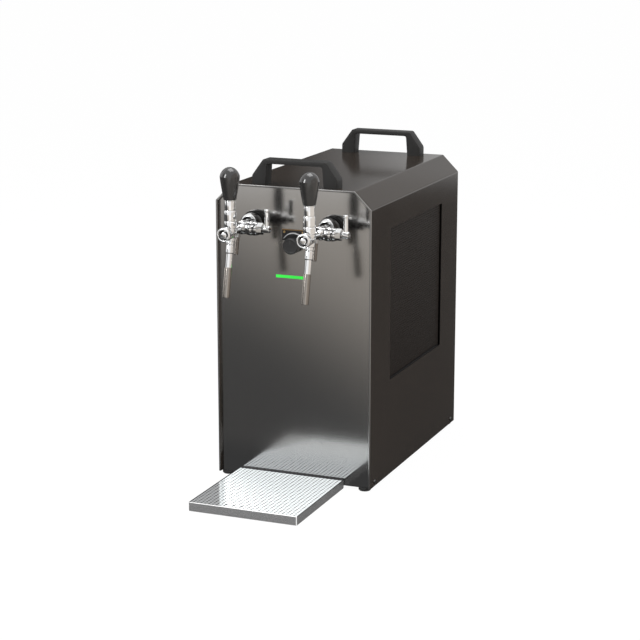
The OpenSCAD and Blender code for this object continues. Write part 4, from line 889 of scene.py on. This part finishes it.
# Painted reflection: the spout's chrome is painted dark on its rear side.
spout_shade = behind(spout_y + 0.9, math.tan(spout_lean), tap_z - spout_drop)
spout_chrome = chrome("spout_polished_chrome", spout_shade)
for side, word in pair:
    at = (side * tap_x, spout_y, tap_z - spout_drop)
    spout = skin("tap_spout_tube_" + word, "cabinet", ["tap_spout_" + word],
                 [turned(pipe, at, down)], crease=42)
    spout_chrome.on(spout)
    nozzle = skin("tap_nozzle_tube_" + word, "cabinet", ["nozzle_" + word],
                  [turned(tube, at, down, hollow=True)], crease=42)
    nozzle_steel.on(nozzle)

# Compensator levers: a cross shaft with a hub and an upright pin, chromed. The pin sets
# the flow of beer.
pin_x, hub_r = 44.5, 6.3
hub = rounded([(38.3, 0.0), (38.3, 5.2), (39.6, hub_r), (49.4, hub_r), (50.7, 5.2),
               (50.7, 0.0)], 0.6, 3)
pin = rounded([(0, 0.0), (0, 3.8), (7, 3.8), (9.5, 3.9), (14, 4.1), (22, 4.0), (29.4, 3.9),
               (30.2, 4.2), (33.2, 4.2), (34, 3.4), (34, 0.0)], 0.5, 3)
shaft = [(4, 0.0), (4, 3.0), (40, 3.0), (40, 0.0)]


def pin_shade(made, x, y, z):
    """The housing's painted reflection bands on the hub, and painted dark behind the pin."""
    hub_bands = casting_shade(made, x, y, z)
    above = z.step(tap_z + hub_r, tap_z + hub_r + 0.2)
    return hub_bands.turn(y.step(housing_y + 1.7, housing_y + 3.3), above)


pin_chrome = chrome("pin_polished_chrome", pin_shade)
for side, word in pair:
    at = np.array([side * tap_x, housing_y, tap_z])
    arm = skin("compensator_pin_" + word, "compensator_" + word, ["compensator_lever_" + word],
               [turned(shaft, at, right_way, parts=32), turned(hub, at, right_way),
                turned(pin, at + (pin_x, 0, 0), upright, parts=32)],
               crease=42)
    pin_chrome.on(arm)

# Thermostat: a black scale plate held by two brass screws, with a white crescent that
# widens towards cold, and a black knob with fine flutes and a pointer line. The plate's
# upper edge is gold.
dial_z, crescent_y = 428.0, 5.7
plate_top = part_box("thermostat_plate")[1][2] * 1000
plate_black = moulded("scale_plate_black", (0.012, 0.012, 0.013), 0.3, 500)
_, y, z = plate_black.axes()
plate_black.paint(y.step(crescent_y + 0.03, crescent_y - 0.03), (0.82, 0.83, 0.84))
plate_black.paint(z.step(plate_top - 2.2, plate_top - 1.6), (0.20, 0.11, 0.035))
plate_black.on("thermostat_plate")


def flutes(h, a):
    """Thirty shallow grooves round the grip, faded out towards both ends."""
    fade = np.clip((h + 4.8) / 1.5, 0, 1) * np.clip((10.4 - h) / 1.5, 0, 1)
    return -0.35 * fade * (0.5 + 0.5 * np.cos(30 * a))


grip = rounded([(-5.2, 5.6), (-5.2, 13.8), (-4.6, 14.2), (10.2, 14.2), (11.6, 12.6),
                (11.8, 11.4), (11.2, 10.6), (11.2, 0.0)], 0.6, 4)
stem = [(-16, 0.0), (-16, 3.0), (6, 3.0), (6, 0.0)]
at = (0, 0, dial_z)
dial = skin("thermostat_grip", "thermostat_knob", ["thermostat_knob"],
            [turned([(-5.2, 0.0)] + grip.tolist(), at, forward, rib=flutes, parts=180),
             turned(stem, at, forward, parts=32)], crease=45)
moulded("thermostat_knob_black", (0.03, 0.03, 0.031), 0.38, 500).on(dial)
pointer = bar_along_y((-0.6, 0.6), (-11.55, -11.0), (dial_z + 4, dial_z + 13.2))
pointer_mark = skin("thermostat_pointer", "thermostat_knob", [], [pointer])
moulded("pointer_black", (0.05, 0.05, 0.05), 0.4, 500).on(pointer_mark)
moulded("thermostat_case", (0.42, 0.42, 0.40), 0.45).on("thermostat_body")

# Accent strip: a plain green band, a thin plate stuck to the panel. It has a little light
# of its own.
moulded("accent_green", (0.03, 0.78, 0.06), 0.35, 500, Emission_Strength=0.25,
        Emission_Color=(0.02, 0.8, 0.05, 1)).on("accent_strip")

# Cooling set: a foam box round a cast block, the beer lines, the compressor on its rubber
# mounts, the copper pipes, the drier, and the condenser with its fan.
foam = Finish("insulation_foam", (0.78, 0.70, 0.48), Roughness=0.85)
cells = foam.node("ShaderNodeTexVoronoi", {}, {"Vector": foam.place(), "Scale": 320})
foam.feed("Base Color", foam.mix(cells, (0.80, 0.73, 0.52), (0.62, 0.54, 0.34)))
foam.bump(cells, 0.0003)
foam.on("insulation_box", "insulation_lid")
brushed_steel("cast_aluminium", (0.66, 0.67, 0.68), 0.5, (300, 300, 300), 0.12,
              0.00008).on("cooling_block")
brushed_steel("condenser_fins", (0.62, 0.63, 0.65), 0.35, (500, 500, 20), 0.1).on("condenser")
moulded("beer_line_white", (0.78, 0.77, 0.72), 0.35, 300).on("beer_lines")
moulded("air_hose_clear", (0.62, 0.63, 0.6), 0.25, 300).on("air_hose")
powder_coat("compressor_enamel", (0.012, 0.012, 0.012), 0.25, 0.5, 300).on("compressor")
copper = Finish("pipe_copper", (0.72, 0.38, 0.24), Roughness=0.28, Metallic=1.0)
age = copper.noise(40, 4)
copper.feed("Base Color", copper.mix(age, (0.78, 0.43, 0.28), (0.45, 0.22, 0.13)))
copper.feed("Roughness", 0.22 + 0.22 * age)
copper.on("refrigerant_pipes", "filter_drier")
zinc = Finish("galvanised_sheet", (0.58, 0.59, 0.6), Roughness=0.4, Metallic=1.0)
spangle = zinc.node("ShaderNodeTexVoronoi", {}, {"Vector": zinc.place(), "Scale": 90}, "Color")
tone = zinc.node("ShaderNodeRGBToBW", {}, {0: spangle})
zinc.feed("Base Color", zinc.mix(tone, (0.50, 0.51, 0.52), (0.66, 0.67, 0.68)))
zinc.feed("Roughness", 0.32 + 0.18 * tone)
zinc.on("mid_shelf")
moulded("fan_black", (0.02, 0.02, 0.021), 0.45).on("fan_shroud", "fan_rotor")
powder_coat("motor_coat", (0.10, 0.10, 0.11), 0.4).on("fan_motor")
moulded("pump_case", (0.03, 0.035, 0.05), 0.4).on("air_pump")
moulded("wiring_box_grey", (0.55, 0.55, 0.53), 0.45).on("wiring_box")
rubber("cable_sheath", (0.015, 0.015, 0.015), 0.6).on("wiring_harness")

# Rear fittings: stainless beer inlets, the mains inlet with its three blades, and the
# rocker switch with its red rocker.
brushed_steel("inlet_steel", (0.62, 0.61, 0.59), 0.25, (600, 40, 600)).on("beer_inlets")
moulded("inlet_black", (0.015, 0.015, 0.015), 0.4).on("mains_inlet", "switch_frame")
moulded("rocker_red", (0.42, 0.02, 0.015), 0.28, 500).on("switch_rocker")


# Studio, in metres: a pale floor that keeps a soft shadow, a white surround, three soft
# lamps, and cards that show in shiny surfaces alone. The card on the floor is graded.
def stage_quad(name, corners):
    """A flat card for the floor or the studio."""
    mesh = bpy.data.meshes.new(name)
    mesh.from_pydata(corners, [], [(0, 1, 2, 3)])
    made = bpy.data.objects.new(name, mesh)
    bpy.context.collection.objects.link(made)
    return made


def level_square(half, z):
    """Corners of a square on the floor."""
    return [(-half, -half, z), (half, -half, z), (half, half, z), (-half, half, z)]


def upright_card(x0, y0, x1, y1, top, foot=0.0):
    """Corners of an upright card over a line on the floor."""
    return [(x0, y0, foot), (x1, y1, foot), (x1, y1, top), (x0, y0, top)]


def rays_seen(web):
    """1 for camera, glossy and transmission rays, and 0 for the others."""
    path = web.node("ShaderNodeLightPath", {}, {}).socket.node
    camera_ray, glossy_ray, clear_ray = (Wire(web, path.outputs["Is " + kind + " Ray"])
                                         for kind in ("Camera", "Glossy", "Transmission"))
    return camera_ray.most(glossy_ray).most(clear_ray)


floor = stage_quad("floor", level_square(15, -0.0003))
ground = Finish("floor_white", (0.80, 0.80, 0.80), Roughness=0.9, Specular_IOR_Level=0.0)
glow = ground.node("ShaderNodeEmission", {}, {"Color": (1, 1, 1), "Strength": 1.04})
plain = Wire(ground, ground.shader.outputs[0])
ground.surface(ground.node("ShaderNodeMixShader", {}, {
    0: rays_seen(ground) * 0.93, 1: plain, 2: glow}))
ground.on(floor)


def glowing(name, corners, colour, finish=None):
    """A card that only shows in shiny surfaces, with an even or a graded glow."""
    made = stage_quad(name, corners)
    finish = finish or Finish(name)
    finish.surface(finish.node("ShaderNodeEmission", {}, {"Color": colour}))
    finish.on(made)
    for ray in ("camera", "diffuse", "transmission", "volume_scatter", "shadow"):
        setattr(made, "visible_" + ray, False)


graded = Finish("graded_card")
x, y, _ = graded.axes(scale=1, ahead=0)
ahead = -1.0 * y - 0.1315
slope = (ahead + 1.2 * (x + 0.4)).step(0.74, 1.70)
shine = graded.mix(slope, (0.10, 0.10, 0.10), (0.54, 0.505, 0.463))
shine = graded.mix(x.step(-0.25, 0.35) * ahead.step(1.1, 1.6), shine, (1.1, 1.08, 1.05))
shine = graded.mix(radius(x, y).step(3.1, 3.9), shine, (1, 1, 1))
glowing("floor_card", level_square(4, -0.0001), shine, graded)
glowing("right_card", upright_card(1.2, -1.6, 1.2, 1.0, 1.6), (0.74, 0.68, 0.62))
glowing("left_strip", upright_card(-1.15, -0.70, -0.87, -1.12, 1.4), (0.05, 0.05, 0.05))
rear_tone = Finish("rear_card")
x, _, _ = rear_tone.axes(scale=1, ahead=0)
tone = rear_tone.bands(x, (-1.7, 0.05), (-0.42, 0.05), (-0.24, 0.30), (-0.05, 0.67), (0.24, 0.80))
glowing("rear_card", upright_card(-1.7, 0.85, 0.24, 0.8, 1.25), tone, rear_tone)
glowing("shoulder_card", upright_card(0.24, 0.8, 0.65, 0.79, 1.25, 0.62), (0.66, 0.65, 0.64))

world = bpy.data.worlds.new("studio")
bpy.context.scene.world = world
world.use_nodes = True
sky = Web(world.node_tree)
back = sky.tree.nodes["Background"]
back.inputs["Color"].default_value = (1, 1, 1, 1)
sky.join(0.45 + 0.55 * rays_seen(sky), back.inputs["Strength"])


def softbox(name, place, aim, width, height, watts):
    """A rectangular lamp aimed at a point, unseen by the camera."""
    lamp = bpy.data.lights.new(name, "AREA")
    lamp.shape = "RECTANGLE"
    lamp.size, lamp.size_y, lamp.energy = width, height, watts
    made = bpy.data.objects.new(name, lamp)
    bpy.context.collection.objects.link(made)
    made.location = place
    made.rotation_euler = (Vector(aim) - Vector(place)).to_track_quat("-Z", "Y").to_euler()
    made.visible_camera = False


softbox("key_front_left", (-1.5, -2.0, 1.5), (0, 0, 0.25), 0.9, 1.3, 38)
softbox("top_soft", (0.1, 0.2, 2.6), (0, 0, 0.2), 1.6, 1.6, 28)
softbox("fill_right", (2.2, -0.9, 1.2), (0, 0, 0.3), 1.0, 1.2, 12)
